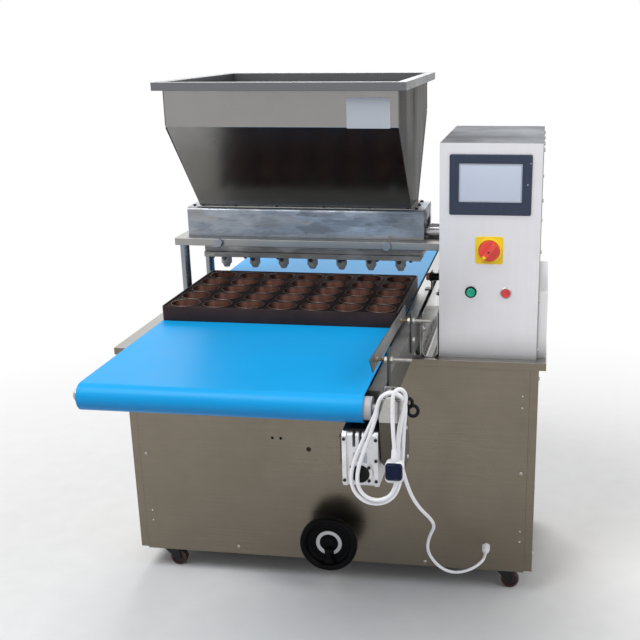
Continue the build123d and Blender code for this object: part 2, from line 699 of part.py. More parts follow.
def conveyor_frame():
    """Right channel, left plate, cross bars, slider bed, feet and the gearbox's hanger, welded."""
    channel_x0 = BELT_X1 + SIDE_GAP
    flange_y0, flange_y1 = NOSE_FRONT + FLANGE_STOP, NOSE_REAR - FLANGE_STOP
    low_y0 = GEARBOX_FRONT + GEARBOX_D
    web = side_profile(CHANNEL_Z0 + WEB_LIFT, CHANNEL_TOP, WEB_END_R)
    frame = prism_x(web, WEB_X - SIDE_T, WEB_X)
    frame += block(channel_x0, WEB_X, flange_y0, flange_y1, CHANNEL_TOP - SIDE_T, CHANNEL_TOP)
    frame += block(channel_x0, WEB_X, low_y0, flange_y1, CHANNEL_Z0, CHANNEL_Z0 + SIDE_T)
    frame += block(WEB_X - SIDE_T, WEB_X, flange_y0, flange_y1, CHANNEL_Z0, CHANNEL_TOP)
    left = side_profile(LEFT_TOP - 2 * (LEFT_TOP - ROLLER_Z), LEFT_TOP, LEFT_END_R)
    frame += prism_x(left, LEFT_X, LEFT_X + SIDE_T)
    bed_top = BELT_TOP - BELT_T - SLIP
    bar_top = bed_top - BED_T
    span = NOSE_REAR - NOSE_FRONT - 2 * BED_STOP - 2 * BAR_W
    for i in range(BAR_COUNT):
        y = NOSE_FRONT + BED_STOP + BAR_W + span * i / (BAR_COUNT - 1)
        frame += block(LEFT_X, WEB_X, y - BAR_W / 2, y + BAR_W / 2, bar_top - BAR_H, bar_top)
    frame += block(
        BELT_X0 + BED_SHY, BELT_X1 - BED_SHY, NOSE_FRONT + BED_STOP, NOSE_REAR - BED_STOP, bar_top, bed_top
    )
    for y in FOOT_YS:
        y0, y1 = y - FOOT_W / 2, y + FOOT_W / 2
        frame += block(LEFT_X - SIDE_T, LEFT_X, y0, y1, DECK_TOP, FOOT_TOP)
        frame += block(LEFT_X - SIDE_T, LEFT_X + FOOT_REACH, y0, y1, DECK_TOP, DECK_TOP + SIDE_T)
        frame += block(WEB_X, WEB_X + SIDE_T, y0, y1, DECK_TOP, FOOT_TOP)
        frame += block(WEB_X - FOOT_REACH, WEB_X + SIDE_T, y0, y1, DECK_TOP, DECK_TOP + SIDE_T)
    frame += block(WEB_X - SIDE_T, WEB_X, flange_y0, low_y0, CHANNEL_Z0 - HANGER_DROP, CHANNEL_Z0)
    for y in (ROLLER_FRONT, ROLLER_REAR):
        frame -= rod_x(LEFT_X, LEFT_X + SIDE_T, y, ROLLER_Z, ROLLER_SHAFT_R + RUN_FIT)
        frame -= rod_x(WEB_X - SIDE_T, WEB_X, y, ROLLER_Z, ROLLER_SHAFT_R + RUN_FIT)
    return frame


def conveyor_belt():
    def loop(r):
        return pulley_hull((ROLLER_FRONT, ROLLER_Z), r, (ROLLER_REAR, ROLLER_Z), r)

    return prism_x(loop(NOSE_R) - loop(NOSE_R - BELT_T), BELT_X0, BELT_X1)


def flat_pulley(y, z, r):
    """A pulley along X for the flat drive belt."""
    return rod_x(PULLEY_X - PULLEY_W / 2, PULLEY_X + PULLEY_W / 2, y, z, r)


def belt_roller(y, right_end):
    """A conveyor roller with its shaft and an end cap beside the belt's right edge."""
    roller = rod_x(BELT_X0 + BED_SHY, BELT_X1 - BED_SHY, y, ROLLER_Z, ROLLER_R)
    cap = rod_x(BELT_X1 - BED_SHY, BELT_X1 - BED_SHY + CAP_LEN, y, ROLLER_Z, CAP_R)
    return roller + cap + rod_x(LEFT_X, right_end, y, ROLLER_Z, ROLLER_SHAFT_R)


def drive_roller():
    end = PULLEY_X + PULLEY_W / 2
    return belt_roller(ROLLER_FRONT, end) + flat_pulley(ROLLER_FRONT, ROLLER_Z, ROLLER_PULLEY_R)


def idler_roller():
    return belt_roller(ROLLER_REAR, WEB_X)


def output_pulley():
    shaft = rod_x(GEARBOX_X, PULLEY_X + PULLEY_W / 2, OUTPUT_Y, OUTPUT_Z, OUTPUT_R)
    return shaft + flat_pulley(OUTPUT_Y, OUTPUT_Z, OUTPUT_PULLEY_R)


def drive_band(grow):
    """The outline of the drive belt at this height above the pulleys' rims."""
    return pulley_hull(
        (ROLLER_FRONT, ROLLER_Z), ROLLER_PULLEY_R + grow, (OUTPUT_Y, OUTPUT_Z), OUTPUT_PULLEY_R + grow
    )


def drive_belt():
    band = drive_band(SLIP + DRIVE_BELT_T) - drive_band(SLIP)
    return prism_x(band, PULLEY_X - DRIVE_BELT_W / 2, PULLEY_X + DRIVE_BELT_W / 2)


def drive_guard():
    """A sheet cover round both pulleys, with the bolt at its top that the cord hangs on."""
    top, low = (ROLLER_FRONT, ROLLER_Z), (OUTPUT_Y, OUTPUT_Z)
    cover = prism_x(pulley_hull(top, GUARD_R_TOP, low, GUARD_R_LOW), WEB_X, WEB_X + GUARD_W)
    cover -= prism_x(
        pulley_hull(top, GUARD_R_TOP - SHEET, low, GUARD_R_LOW - SHEET), WEB_X, WEB_X + GUARD_W - SHEET
    )
    lug_z0 = ROLLER_Z + math.sqrt(GUARD_R_TOP**2 - (ROLLER_FRONT - PEG_FROM + SIDE_T) ** 2) - SHEET / 2
    cover += block(
        PEG_X - PEG_LUG, PEG_X + PEG_LUG, PEG_FROM - SIDE_T, PEG_FROM, lug_z0, PEG_Z + PEG_LUG_TOP
    )
    cover += rod_y(PEG_TIP + PEG_HEAD_T, PEG_FROM, PEG_X, PEG_Z, PEG_R)
    head = prism_y(Pos(PEG_X, PEG_Z) * RegularPolygon(PEG_HEAD_R, 6), PEG_TIP, PEG_TIP + PEG_HEAD_T)
    return cover + head


def gearbox():
    """A cast worm gearbox: two flange plates on a narrower ribbed body, with a round worm cover."""
    x0, x1 = GEARBOX_X1 - GEARBOX_W, GEARBOX_X1
    y0, y1 = GEARBOX_FRONT, GEARBOX_FRONT + GEARBOX_D
    z0 = GEARBOX_TOP - GEARBOX_H
    middle = Pos((y0 + y1) / 2, (z0 + GEARBOX_TOP) / 2)
    body = prism_x(
        middle * chamfered(GEARBOX_D - 2 * GEARBOX_STEP, GEARBOX_H, GEARBOX_CUT),
        x0 + FLANGE_PLATE, x1 - FLANGE_PLATE,
    )
    for side in (-1, 0, 1):
        x = GEARBOX_X + side * FIN_PITCH
        body -= block(x - FIN_SLOT / 2, x + FIN_SLOT / 2, y0, y1, GEARBOX_TOP - FIN_DEEP, GEARBOX_TOP)
    for xa in (x0, x1 - FLANGE_PLATE):
        body += prism_x(middle * chamfered(GEARBOX_D, GEARBOX_H, GEARBOX_CUT), xa, xa + FLANGE_PLATE)
    body += block(x0 + FLANGE_PLATE, x1 - FLANGE_PLATE, y1 - GEARBOX_STEP, y1, z0, OUTPUT_Z)
    body += rod_y(y0, y0 + GEARBOX_STEP, GEARBOX_X, WORM_Z, WORM_CAP_R + FIN_SLOT)
    body -= rod_x(x0, x1, OUTPUT_Y, OUTPUT_Z, OUTPUT_R + RUN_FIT)
    cover = rod_y(y0 - SHEET, y0, GEARBOX_X, WORM_Z, WORM_CAP_R)
    return group(body, cover)


def gear_motor():
    """A finned motor behind the gearbox, with its flange, fan cover and terminal box."""
    y0 = GEARBOX_FRONT + GEARBOX_D
    y1 = y0 + MOTOR_LEN
    section = Circle(MOTOR_R)
    for i in range(MOTOR_RIBS):
        section += Rot(0, 0, 360 * i / MOTOR_RIBS) * Pos(MOTOR_R, 0) * Rectangle(2 * RIB_H, RIB_W)
    motor = prism_y(Pos(GEARBOX_X, WORM_Z) * section, y0 + MOTOR_FLANGE, y1)
    motor += rod_y(y0, y0 + MOTOR_FLANGE, GEARBOX_X, WORM_Z, MOTOR_R + RIB_H)
    motor += rod_y(y1, y1 + FAN_LEN, GEARBOX_X, WORM_Z, MOTOR_R + RIB_H)
    length, width, height = TERMINAL_BOX
    x1 = GEARBOX_X - MOTOR_R + RIB_H
    y2 = y0 + MOTOR_FLANGE + RIB_H
    return motor + block(x1 - width, x1, y2, y2 + length, WORM_Z - height / 2, WORM_Z + height / 2)


def support_trough():
    """A U of polished sheet between conveyor and control box, with a round floor."""
    width, height = TROUGH_X1 - TROUGH_X0, TROUGH_TOP - DECK_TOP
    outer = prism_y(
        Pos((TROUGH_X0 + TROUGH_X1) / 2, DECK_TOP + height / 2) * Rectangle(width, height),
        TROUGH_Y0, TROUGH_Y1,
    )
    outer = fillet(outer.edges().filter_by(Axis.Y).group_by(Axis.Z)[0], TROUGH_R)
    inner = prism_y(
        Pos((TROUGH_X0 + TROUGH_X1) / 2, DECK_TOP + height / 2 + SHEET)
        * Rectangle(width - 2 * SHEET, height),
        TROUGH_Y0, TROUGH_Y1,
    )
    inner = fillet(inner.edges().filter_by(Axis.Y).group_by(Axis.Z)[0], TROUGH_R - SHEET)
    return outer - inner


def guide_rail():
    """A tilted guide plate with its two threaded rods."""
    rail = prism_x(Polygon(*GUIDE_PROFILE, align=None), GUIDE_X, GUIDE_X + GUIDE_T)
    for y, z in GUIDE_RODS:
        rail += rod_x(GUIDE_X + GUIDE_T, GUIDE_ROD_END, y, z, GUIDE_ROD_R)
        rail += rod_x(GUIDE_X + GUIDE_T, GUIDE_X + GUIDE_T + GUIDE_BOSS_T, y, z, GUIDE_BOSS_R)
    return rail


def guide_brackets():
    """Flat bars bolted to the conveyor's side, each with two nuts that clamp a guide rod."""
    pieces = []
    x0, x1 = WEB_X, WEB_X + BRACKET_T
    for y, z in GUIDE_RODS:
        y0, y1 = y - BRACKET_W / 2, y + BRACKET_W / 2
        bar = block(x0, x1, y0, y1, BRACKET_FOOT_Z, z + BRACKET_ABOVE)
        pieces.append(bar - rod_x(x0, x1, y, z, GUIDE_ROD_R + BORE_PLAY))
        pieces.append(hex_x(x1, x1 + NUT_T, y, BRACKET_BOLT_Z, NUT_R))
        for xa in (x0 - NUT_T, x1):
            nut = hex_x(xa, xa + NUT_T, y, z, NUT_R)
            pieces.append(nut - rod_x(xa, xa + NUT_T, y, z, GUIDE_ROD_R + BORE_PLAY))
    return group(*pieces)


def tray_sensor():
    """A threaded barrel sensor with two nuts on an angle bracket on the conveyor's side."""
    barrel = rod_x(SENSOR_X0, SENSOR_X0 + SENSOR_LEN, SENSOR_Y, SENSOR_Z, SENSOR_R)
    plate_x1 = SENSOR_PLATE_X + SENSOR_PLATE_T
    for xa in (SENSOR_PLATE_X - SENSOR_NUT_T, plate_x1):
        barrel += hex_x(xa, xa + SENSOR_NUT_T, SENSOR_Y, SENSOR_Z, SENSOR_NUT_R)
    y0, y1 = SENSOR_Y - SENSOR_PLATE_W / 2, SENSOR_Y + SENSOR_PLATE_W / 2
    plate = block(SENSOR_PLATE_X, plate_x1, y0, y1, CHANNEL_TOP, SENSOR_PLATE_TOP)
    plate += block(plate_x1 - SENSOR_FOOT, plate_x1, y0, y1, CHANNEL_TOP, CHANNEL_TOP + SENSOR_PLATE_T)
    plate -= rod_x(SENSOR_PLATE_X, plate_x1, SENSOR_Y, SENSOR_Z, SENSOR_R)
    return group(barrel, plate)


def tray():
    """A baking tray: a deep-skirted block with tapered round cups."""
    middle = TRAY_FRONT + TRAY_D / 2
    z1 = BELT_TOP + TRAY_H
    body = prism_z(Pos(LINE_X, middle) * chamfered(TRAY_W, TRAY_D, TRAY_CORNER), BELT_TOP + SLIP, z1)
    cup = flat_cone(CUP_FLOOR_R, CUP_R, CUP_DEEP)
    places = GridLocations(CUP_PITCH_X, CUP_PITCH_Y, CUP_COLS, CUP_ROWS)
    return body - [Pos(LINE_X, middle, z1 - CUP_DEEP) * place * cup for place in places]


def head_frame():
    """The thick plate that carries the pump housing, with a window for the nozzle bar."""
    plate = block(
        HEAD_FRAME_X0, HEAD_FRAME_X1, HEAD_FRAME_Y0, HEAD_FRAME_Y1, HOUSING_Z - FRAME_T, HOUSING_Z
    )
    half = NOZZLE_BAR_D / 2 + BAR_WINDOW
    return plate - block(
        BAR_X0 - BAR_WINDOW, BAR_X1 + BAR_WINDOW, HEAD_Y - half, HEAD_Y + half, HOUSING_Z - FRAME_T, HOUSING_Z
    )


def pump_cavity():
    """The room that the two rollers turn in."""
    x0, x1 = PUMP_X0 - PUMP_PLAY, PUMP_X1 + PUMP_PLAY
    return [rod_x(x0, x1, y, PUMP_Z, PUMP_R + PUMP_PLAY) for y in PUMP_YS]


def manifold():
    """Upper half of the pump housing: rollers' room, feed slot, and bearings in its end walls."""
    z1 = HOUSING_Z + HOUSING_H
    y0, y1 = HEAD_Y - HOUSING_D / 2, HEAD_Y + HOUSING_D / 2
    housing = block(HOUSING_X0, HOUSING_X1, y0, y1, HOUSING_Z, z1)
    housing = fillet(housing.edges().filter_by(Axis.X).group_by(Axis.Z)[-1], HOUSING_R)
    housing -= pump_cavity()
    x0, x1 = PUMP_X0 - PUMP_PLAY, PUMP_X1 + PUMP_PLAY
    housing -= block(x0, x1, HEAD_Y - FEED_W / 2, HEAD_Y + FEED_W / 2, HOUSING_Z, z1)
    for y in PUMP_YS:
        housing -= rod_x(x0 - PUMP_JOURNAL, x0, y, PUMP_Z, PUMP_SHAFT_R + RUN_FIT)
        housing -= rod_x(x1, HOUSING_X1, y, PUMP_Z, PUMP_SHAFT_R + RUN_FIT)
    width, height, deep = END_RECESS
    recess = block(
        HOUSING_X1 - deep, HOUSING_X1, HEAD_Y - width / 2, HEAD_Y + width / 2, HOUSING_Z, HOUSING_Z + height
    )
    return housing - recess


def nozzle_bar():
    """Lower half of the pump housing: the rollers' trough, and an outlet down to each nozzle."""
    z0 = HOUSING_Z - NOZZLE_BAR_H
    half = NOZZLE_BAR_D / 2
    bar = block(BAR_X0, BAR_X1, HEAD_Y - half, HEAD_Y + half, z0, HOUSING_Z)
    for face, inner in ((HEAD_Y - half, HEAD_Y - half + BAR_STEP), (HEAD_Y + half - BAR_STEP, HEAD_Y + half)):
        bar -= block(BAR_X0, BAR_X1, face, inner, z0 + BAR_LIP, HOUSING_Z - FRAME_T)
    bar -= pump_cavity()
    bar -= block(
        PUMP_X0 - PUMP_PLAY, PUMP_X1 + PUMP_PLAY, HEAD_Y - OUTLET_W / 2, HEAD_Y + OUTLET_W / 2,
        OUTLET_Z, HOUSING_Z,
    )
    for x in nozzle_xs():
        bar -= rod_z(z0, OUTLET_Z, x, HEAD_Y, OUTLET_R)
    return bar


def nozzle_xs():
    first = LINE_X - NOZZLE_ROW / 2
    return [first + NOZZLE_PITCH * i for i in range(NOZZLE_COUNT)]


def nozzles():
    """Nozzles with a tapered tip, one under each outlet."""
    top = HOUSING_Z - NOZZLE_BAR_H
    tip = top - NOZZLE_H
    tube = rod_z(tip + NOZZLE_CONE, top, 0, 0, NOZZLE_R)
    tube += Pos(0, 0, tip + NOZZLE_CONE / 2) * Cone(NOZZLE_TIP_R, NOZZLE_R, NOZZLE_CONE)
    tube -= rod_z(tip, top, 0, 0, NOZZLE_BORE_R)
    return group(*[Pos(x, HEAD_Y, 0) * tube for x in nozzle_xs()])


def pump_roller(y):
    """A fluted roller with journals at both ends and a coupling on its drive side."""
    section = Pos(y, PUMP_Z) * Circle(PUMP_R)
    for i in range(PUMP_FLUTES):
        angle = 2 * math.pi * i / PUMP_FLUTES
        centre = (y + PUMP_R * math.cos(angle), PUMP_Z + PUMP_R * math.sin(angle))
        section -= Pos(*centre) * Circle(FLUTE_R)
    roller = prism_x(section, PUMP_X0, PUMP_X1)
    roller += rod_x(PUMP_X0 - PUMP_JOURNAL, PUMP_X0, y, PUMP_Z, PUMP_SHAFT_R)
    roller += rod_x(PUMP_X1, PUMP_SHAFT_END, y, PUMP_Z, PUMP_SHAFT_R)
    return roller + rod_x(COUPLING_X0, COUPLING_X0 + COUPLING_LEN, y, PUMP_Z, COUPLING_R)


def hopper_body(inset):
    """The hopper's volume: a straight band over a front-and-back taper."""
    w = HOPPER_W - 2 * inset
    d_top, d_low = HOPPER_D - 2 * inset, HOPPER_NECK_D - 2 * inset
    profile = Polygon(
        (HEAD_Y - d_top / 2, HOPPER_TOP), (HEAD_Y - d_top / 2, HOPPER_BAND_Z),
        (HEAD_Y - d_low / 2, HOPPER_Z0), (HEAD_Y + d_low / 2, HOPPER_Z0),
        (HEAD_Y + d_top / 2, HOPPER_BAND_Z), (HEAD_Y + d_top / 2, HOPPER_TOP), align=None,
    )
    return prism_x(profile, LINE_X - w / 2, LINE_X + w / 2)


def hopper():
    """A sheet hopper with a folded rim and a foot flange on the pump housing."""
    half_w, half_d = HOPPER_W / 2 + HOPPER_RIM, HOPPER_D / 2 + HOPPER_RIM
    rim_z = HOPPER_TOP - HOPPER_FOLD
    rim = block(LINE_X - half_w, LINE_X + half_w, HEAD_Y - half_d, HEAD_Y + half_d, rim_z, HOPPER_TOP)
    rim -= block(
        LINE_X - half_w + SHEET, LINE_X + half_w - SHEET, HEAD_Y - half_d + SHEET, HEAD_Y + half_d - SHEET,
        rim_z, HOPPER_TOP - SHEET,
    )
    foot_w, foot_d = HOPPER_W / 2 + HOPPER_FOOT, HOPPER_NECK_D / 2 + HOPPER_FOOT_Y
    foot_top = HOPPER_Z0 + HOPPER_FOOT_T
    foot = block(LINE_X - foot_w, LINE_X + foot_w, HEAD_Y - foot_d, HEAD_Y + foot_d, HOPPER_Z0, foot_top)
    return (hopper_body(0) + rim + foot) - hopper_body(SHEET)


def frame_knobs():
    """Two round bolt heads on the frame plate's front edge."""
    z = HOUSING_Z - FRAME_T / 2
    y0 = HEAD_FRAME_Y0 - KNOB_T
    return group(*[rod_y(y0, HEAD_FRAME_Y0, LINE_X + side * KNOB_X, z, KNOB_R) for side in (-1, 1)])


def posts():
    top = HOUSING_Z - FRAME_T
    return group(*[rod_z(YOKE_TOP, top, x, y, POST_R) for x in POST_X for y in POST_Y])


def post_bushes():
    """Bushes with a square flange on the deck, one for each post."""
    bushes = []
    for x in POST_X:
        for y in POST_Y:
            flange = chamfered(2 * BUSH_FLANGE, 2 * BUSH_FLANGE, BUSH_FLANGE_T)
            bush = prism_z(Pos(x, y) * flange, DECK_TOP, DECK_TOP + BUSH_FLANGE_T)
            bush += rod_z(DECK_TOP - BUSH_BODY, DECK_TOP, x, y, BUSH_R)
            bush -= rod_z(DECK_TOP - BUSH_BODY, DECK_TOP + BUSH_FLANGE_T, x, y, POST_R + RUN_FIT)
            bushes.append(bush)
    return group(*bushes)


def lift_yoke():
    """Two bars across the posts' feet, joined by a third that holds the screw's nut."""
    z0 = YOKE_TOP - YOKE_H
    end = YOKE_W / 2
    yoke = block(SCREW_X - YOKE_W, SCREW_X + YOKE_W, POST_Y[0], POST_Y[1], z0, YOKE_TOP)
    for y in POST_Y:
        yoke += block(POST_X[0] - end, POST_X[1] + end, y - end, y + end, z0, YOKE_TOP)
    yoke -= rod_z(z0, YOKE_TOP, SCREW_X, SCREW_Y, SCREW_R + HOLE_ROOM)
    nut = rod_z(z0 - NUT_BLOCK_H, z0, SCREW_X, SCREW_Y, NUT_BLOCK_R)
    nut -= rod_z(z0 - NUT_BLOCK_H, z0, SCREW_X, SCREW_Y, SCREW_R + RUN_FIT)
    return group(yoke, nut)


def gear_outline(scale, phase):
    """A bevel gear's cross-section where its pitch radius is GEAR_PITCH_R times scale."""
    pitch = 2 * math.pi / GEAR_TEETH
    points = []
    for i in range(GEAR_TEETH):
        for share, r in (
            (-TOOTH_FOOT, GEAR_ROOT), (-TOOTH_TIP, GEAR_TIP), (TOOTH_TIP, GEAR_TIP), (TOOTH_FOOT, GEAR_ROOT)
        ):
            angle = pitch * (i + share + phase)
            radius = GEAR_PITCH_R * scale * r
            points.append((radius * math.cos(angle), radius * math.sin(angle)))
    return Polygon(*points, align=None)


def bevel_gear(phase):
    """A mitre gear on +Z, whose pitch cone has its apex at the origin; its teeth are below it."""
    near = (GEAR_PITCH_R - GEAR_FACE) / GEAR_PITCH_R
    wide = Plane.XY.offset(-GEAR_PITCH_R) * gear_outline(1, phase)
    slim = Plane.XY.offset(-GEAR_PITCH_R * near) * gear_outline(near, phase)
    teeth = loft([wide, slim], ruled=True)
    return teeth + rod_z(-GEAR_PITCH_R - GEAR_HUB, -GEAR_PITCH_R, 0, 0, GEAR_HUB_R)


def lead_screw():
    """The upright lift screw with its bevel gear and end journals."""
    z0 = CAB_Z0 + FLOOR_PLATE_T
    gear_low = CRANK_Z - GEAR_PITCH_R - GEAR_HUB
    screw = rod_z(gear_low, SCREW_TOP - JOURNAL_LEN, SCREW_X, SCREW_Y, SCREW_R)
    screw += rod_z(z0 + SEAT_T + SLIP, gear_low, SCREW_X, SCREW_Y, JOURNAL_R)
    screw += rod_z(SCREW_TOP - JOURNAL_LEN, SCREW_TOP, SCREW_X, SCREW_Y, JOURNAL_R)
    return screw + Pos(SCREW_X, SCREW_Y, CRANK_Z) * bevel_gear(0.0)


def wheel_shaft():
    """The handwheel's shaft with its bevel gear and the bright ring on the wheel's face."""
    gear_back = SCREW_Y - GEAR_PITCH_R - GEAR_HUB
    shaft = rod_y(WEB_FACE - SHAFT_PROUD, gear_back, SCREW_X, CRANK_Z, CRANK_R)
    gear = Pos(SCREW_X, SCREW_Y, CRANK_Z) * Rot(-90, 0, 0) * bevel_gear(0.5)
    ring = rod_y(WEB_FACE - RING_T, WEB_FACE, SCREW_X, CRANK_Z, RING_R1)
    ring -= rod_y(WEB_FACE - RING_T, WEB_FACE, SCREW_X, CRANK_Z, RING_R0)
    half = HANDLE_R + LUG_T
    ring -= block(
        SCREW_X - half, SCREW_X + half, WEB_FACE - RING_T, WEB_FACE, CRANK_Z - WHEEL_R, CRANK_Z
    )
    return group(shaft + gear, ring)


def handwheel():
    """A dished wheel with a thick rim and a hub, and two lugs for its folding handle."""
    wheel = rod_y(WHEEL_FACE, WHEEL_BACK, SCREW_X, CRANK_Z, WHEEL_R)
    wheel -= rod_y(WHEEL_FACE, WEB_FACE, SCREW_X, CRANK_Z, WHEEL_R - WHEEL_RIM)
    wheel += rod_y(WHEEL_BACK, HUB_BACK, SCREW_X, CRANK_Z, HUB_R)
    pivot_z = CRANK_Z - HANDLE_PIVOT
    for side in (-1, 1):
        xa = SCREW_X + side * (HANDLE_R + SLIP)
        xs = sorted((xa, xa + side * LUG_T))
        wheel += block(*xs, HANDLE_Y - LUG_T, WEB_FACE, pivot_z - 2 * LUG_T, pivot_z + 2 * LUG_T)
        wheel -= rod_x(*xs, HANDLE_Y, pivot_z, HANDLE_PIN_R + RUN_FIT)
    return wheel - rod_y(WEB_FACE - SHAFT_PROUD, HUB_BACK, SCREW_X, CRANK_Z, CRANK_R)


def wheel_handle():
    """The folding handle on its pin, lying in the wheel's dish."""
    pivot_z, tip_z = CRANK_Z - HANDLE_PIVOT, CRANK_Z - HANDLE_TIP
    section = Pos(SCREW_X, HANDLE_Y) * chamfered(2 * HANDLE_R, 2 * HANDLE_R, HANDLE_R / 2)
    grip = prism_z(section, pivot_z, tip_z)
    grip += rod_x(SCREW_X - HANDLE_R, SCREW_X + HANDLE_R, HANDLE_Y, pivot_z, HANDLE_R)
    pin_end = HANDLE_R + SLIP + LUG_T
    return grip + rod_x(SCREW_X - pin_end, SCREW_X + pin_end, HANDLE_Y, pivot_z, HANDLE_PIN_R)


def shaft_bearings():
    """Flange bearing on the front panel, pillow block, and foot and head bearings of the screw."""
    floor = CAB_Z0 + FLOOR_PLATE_T
    x0, x1 = SCREW_X - BEARING_R, SCREW_X + BEARING_R
    front = block(x0, x1, FRAME_Y0, FRAME_Y0 + BEARING_T, CRANK_Z - BEARING_R, CRANK_Z + BEARING_R)
    front -= rod_y(FRAME_Y0, FRAME_Y0 + BEARING_T, SCREW_X, CRANK_Z, CRANK_R + RUN_FIT)
    y1 = SCREW_Y - GEAR_PITCH_R - GEAR_HUB - BEARING_GAP
    pillow = block(
        SCREW_X - PILLOW_HALF, SCREW_X + PILLOW_HALF, y1 - BEARING_T, y1, floor, CRANK_Z + PILLOW_HALF
    )
    pillow -= rod_y(y1 - BEARING_T, y1, SCREW_X, CRANK_Z, CRANK_R + RUN_FIT)
    foot_top = CRANK_Z - GEAR_PITCH_R - GEAR_HUB - BEARING_GAP
    foot = rod_z(floor, foot_top, SCREW_X, SCREW_Y, FOOT_BEARING_R)
    foot -= rod_z(floor + SEAT_T, foot_top, SCREW_X, SCREW_Y, JOURNAL_R + RUN_FIT)
    head_z0 = SCREW_TOP - JOURNAL_LEN + BEARING_GAP
    head = block(x0, x1, SCREW_Y - BEARING_R, SCREW_Y + BEARING_R, head_z0, FRAME_TOP)
    head -= rod_z(head_z0, SCREW_TOP + BEARING_GAP, SCREW_X, SCREW_Y, JOURNAL_R + RUN_FIT)
    return group(front, pillow, foot, head)


def pump_drive():
    """Gear case that turns both rollers, and its servo motor, on the frame plate's right end."""
    length, width, height = GEARCASE
    x0, x1 = GEARCASE_X0, GEARCASE_X0 + length
    case = block(x0, x1, HEAD_Y - width / 2, HEAD_Y + width / 2, HOUSING_Z, HOUSING_Z + height)
    for y in PUMP_YS:
        case -= rod_x(x0, x0 + GEARCASE_BORE, y, PUMP_Z, PUMP_SHAFT_R + RUN_FIT)
    axis = Pos(HEAD_Y, HOUSING_Z + height / 2)
    motor = prism_x(axis * chamfered(SERVO, SERVO, SERVO_CUT), x1, x1 + SERVO_FLANGE)
    inner = SERVO - SERVO_CUT
    motor += prism_x(axis * chamfered(inner, inner, SERVO_CUT), x1 + SERVO_FLANGE, x1 + SERVO_LEN)
    return group(case, motor)


def caster_frame(x, y, turn):
    """Placement of a caster: its swivel axis, with the trail turned from +X."""
    return Pos(x, y, 0) * Rot(0, 0, turn)


def caster_fork(x, y, turn, brake):
    """A swivel fork with its kingpin and axle; a braked one has a foot pedal."""
    half = CASTER_W / 2 + FORK_GAP
    top = CAB_Z0 - SLIP
    fork = block(-FORK_CROWN, FORK_CROWN, -half - FORK_T, half + FORK_T, FORK_CROWN_Z, top)
    foot = CASTER_TRAIL
    outline = Polygon(
        (-FORK_CROWN, FORK_CROWN_Z), (FORK_CROWN, FORK_CROWN_Z), (foot + FORK_FOOT, CASTER_R),
        (foot + FORK_FOOT / 2, CASTER_R - FORK_FOOT), (foot - FORK_FOOT / 2, CASTER_R - FORK_FOOT),
        (foot - FORK_FOOT, CASTER_R), align=None,
    )
    for y0 in (-half - FORK_T, half):
        fork += prism_y(outline, y0, y0 + FORK_T)
    fork += rod_y(-half - FORK_T, half + FORK_T, CASTER_TRAIL, CASTER_R, AXLE_R)
    fork += rod_z(top, CAB_Z0 + CASTER_PAD_T, 0, 0, KING_R)
    if brake:
        length, width, height = BRAKE
        x1, z1 = FORK_CROWN + length, FORK_CROWN_Z + height
        fork += block(FORK_CROWN, x1, -width / 2, width / 2, FORK_CROWN_Z, z1)
    return caster_frame(x, y, turn) * fork


def caster_wheel(x, y, turn):
    half = CASTER_W / 2
    wheel = rod_y(-half, half, CASTER_TRAIL, CASTER_R, CASTER_R)
    wheel -= rod_y(-half, half, CASTER_TRAIL, CASTER_R, AXLE_R + RUN_FIT)
    return caster_frame(x, y, turn) * wheel


def cable_gland():
    """A hexagon gland with a round nut, through the front panel."""
    flange = CAB_FRONT - GLAND_NUT
    gland = prism_y(Pos(GLAND_X, GLAND_Z) * RegularPolygon(GLAND_R, 6), flange, CAB_FRONT)
    gland += rod_y(GLAND_TIP, flange, GLAND_X, GLAND_Z, GLAND_DOME_R)
    return gland + rod_y(CAB_FRONT, CAB_FRONT + GLAND_NUT, GLAND_X, GLAND_Z, GLAND_THREAD_R)


def route_radii(points):
    """The largest arc at each corner of a cord's route, for the shorter run and the turn there."""
    vectors = [Vector(*p) for p in points]
    radii = []
    for a, b, c in zip(vectors, vectors[1:], vectors[2:]):
        turn = (b - a).get_angle(c - b)
        run = min((b - a).length, (c - b).length)
        radii.append(ARC_SHARE * run / math.tan(math.radians(turn) / 2))
    return radii


def cord_tail():
    """The free stretch of the cord, from the gland up to the hank."""
    radii = route_radii(CORD_TAIL)
    print("cord radii", [round(r) for r in radii])
    path = FilletPolyline(*CORD_TAIL, radius=radii)
    print("cord tail length", round(path.length))
    section = Plane(origin=path @ 0, z_dir=path % 0) * RegularPolygon(CORD_R, CORD_SIDES)
    tube = sweep(section, path=path)
    print("cord tail volume over section times length", round(tube.volume / (section.area * path.length), 4))
    return tube


def hank_outline(inset):
    (x1, z1, r1), (x2, z2, r2) = HANK_TOP, HANK_LOW
    return pulley_hull((x1, z1), r1 - inset, (x2, z2), r2 - inset)


def cord_hank():
    """The outer shape of the rolled-up cord: a drop-shaped band hung on the guard's bolt."""
    return prism_y(hank_outline(0) - hank_outline(HANK_BAND), *HANK_Y)


def plug():
    """A mains plug that hangs in front of the hank, with a neck where the cord enters."""
    (x0, x1), (z0, z1) = PLUG_X, PLUG_Z
    y1 = HANK_Y[0]
    middle = Pos((x0 + x1) / 2, (z0 + z1) / 2)
    body = prism_y(middle * chamfered(x1 - x0, z1 - z0, PLUG_CUT), y1 - PLUG_T, y1)
    neck = Pos((x0 + x1) / 2, y1 - PLUG_T / 2) * RegularPolygon(PLUG_NECK_R, CORD_SIDES)
    return body + prism_z(neck, z1, z1 + PLUG_NECK)


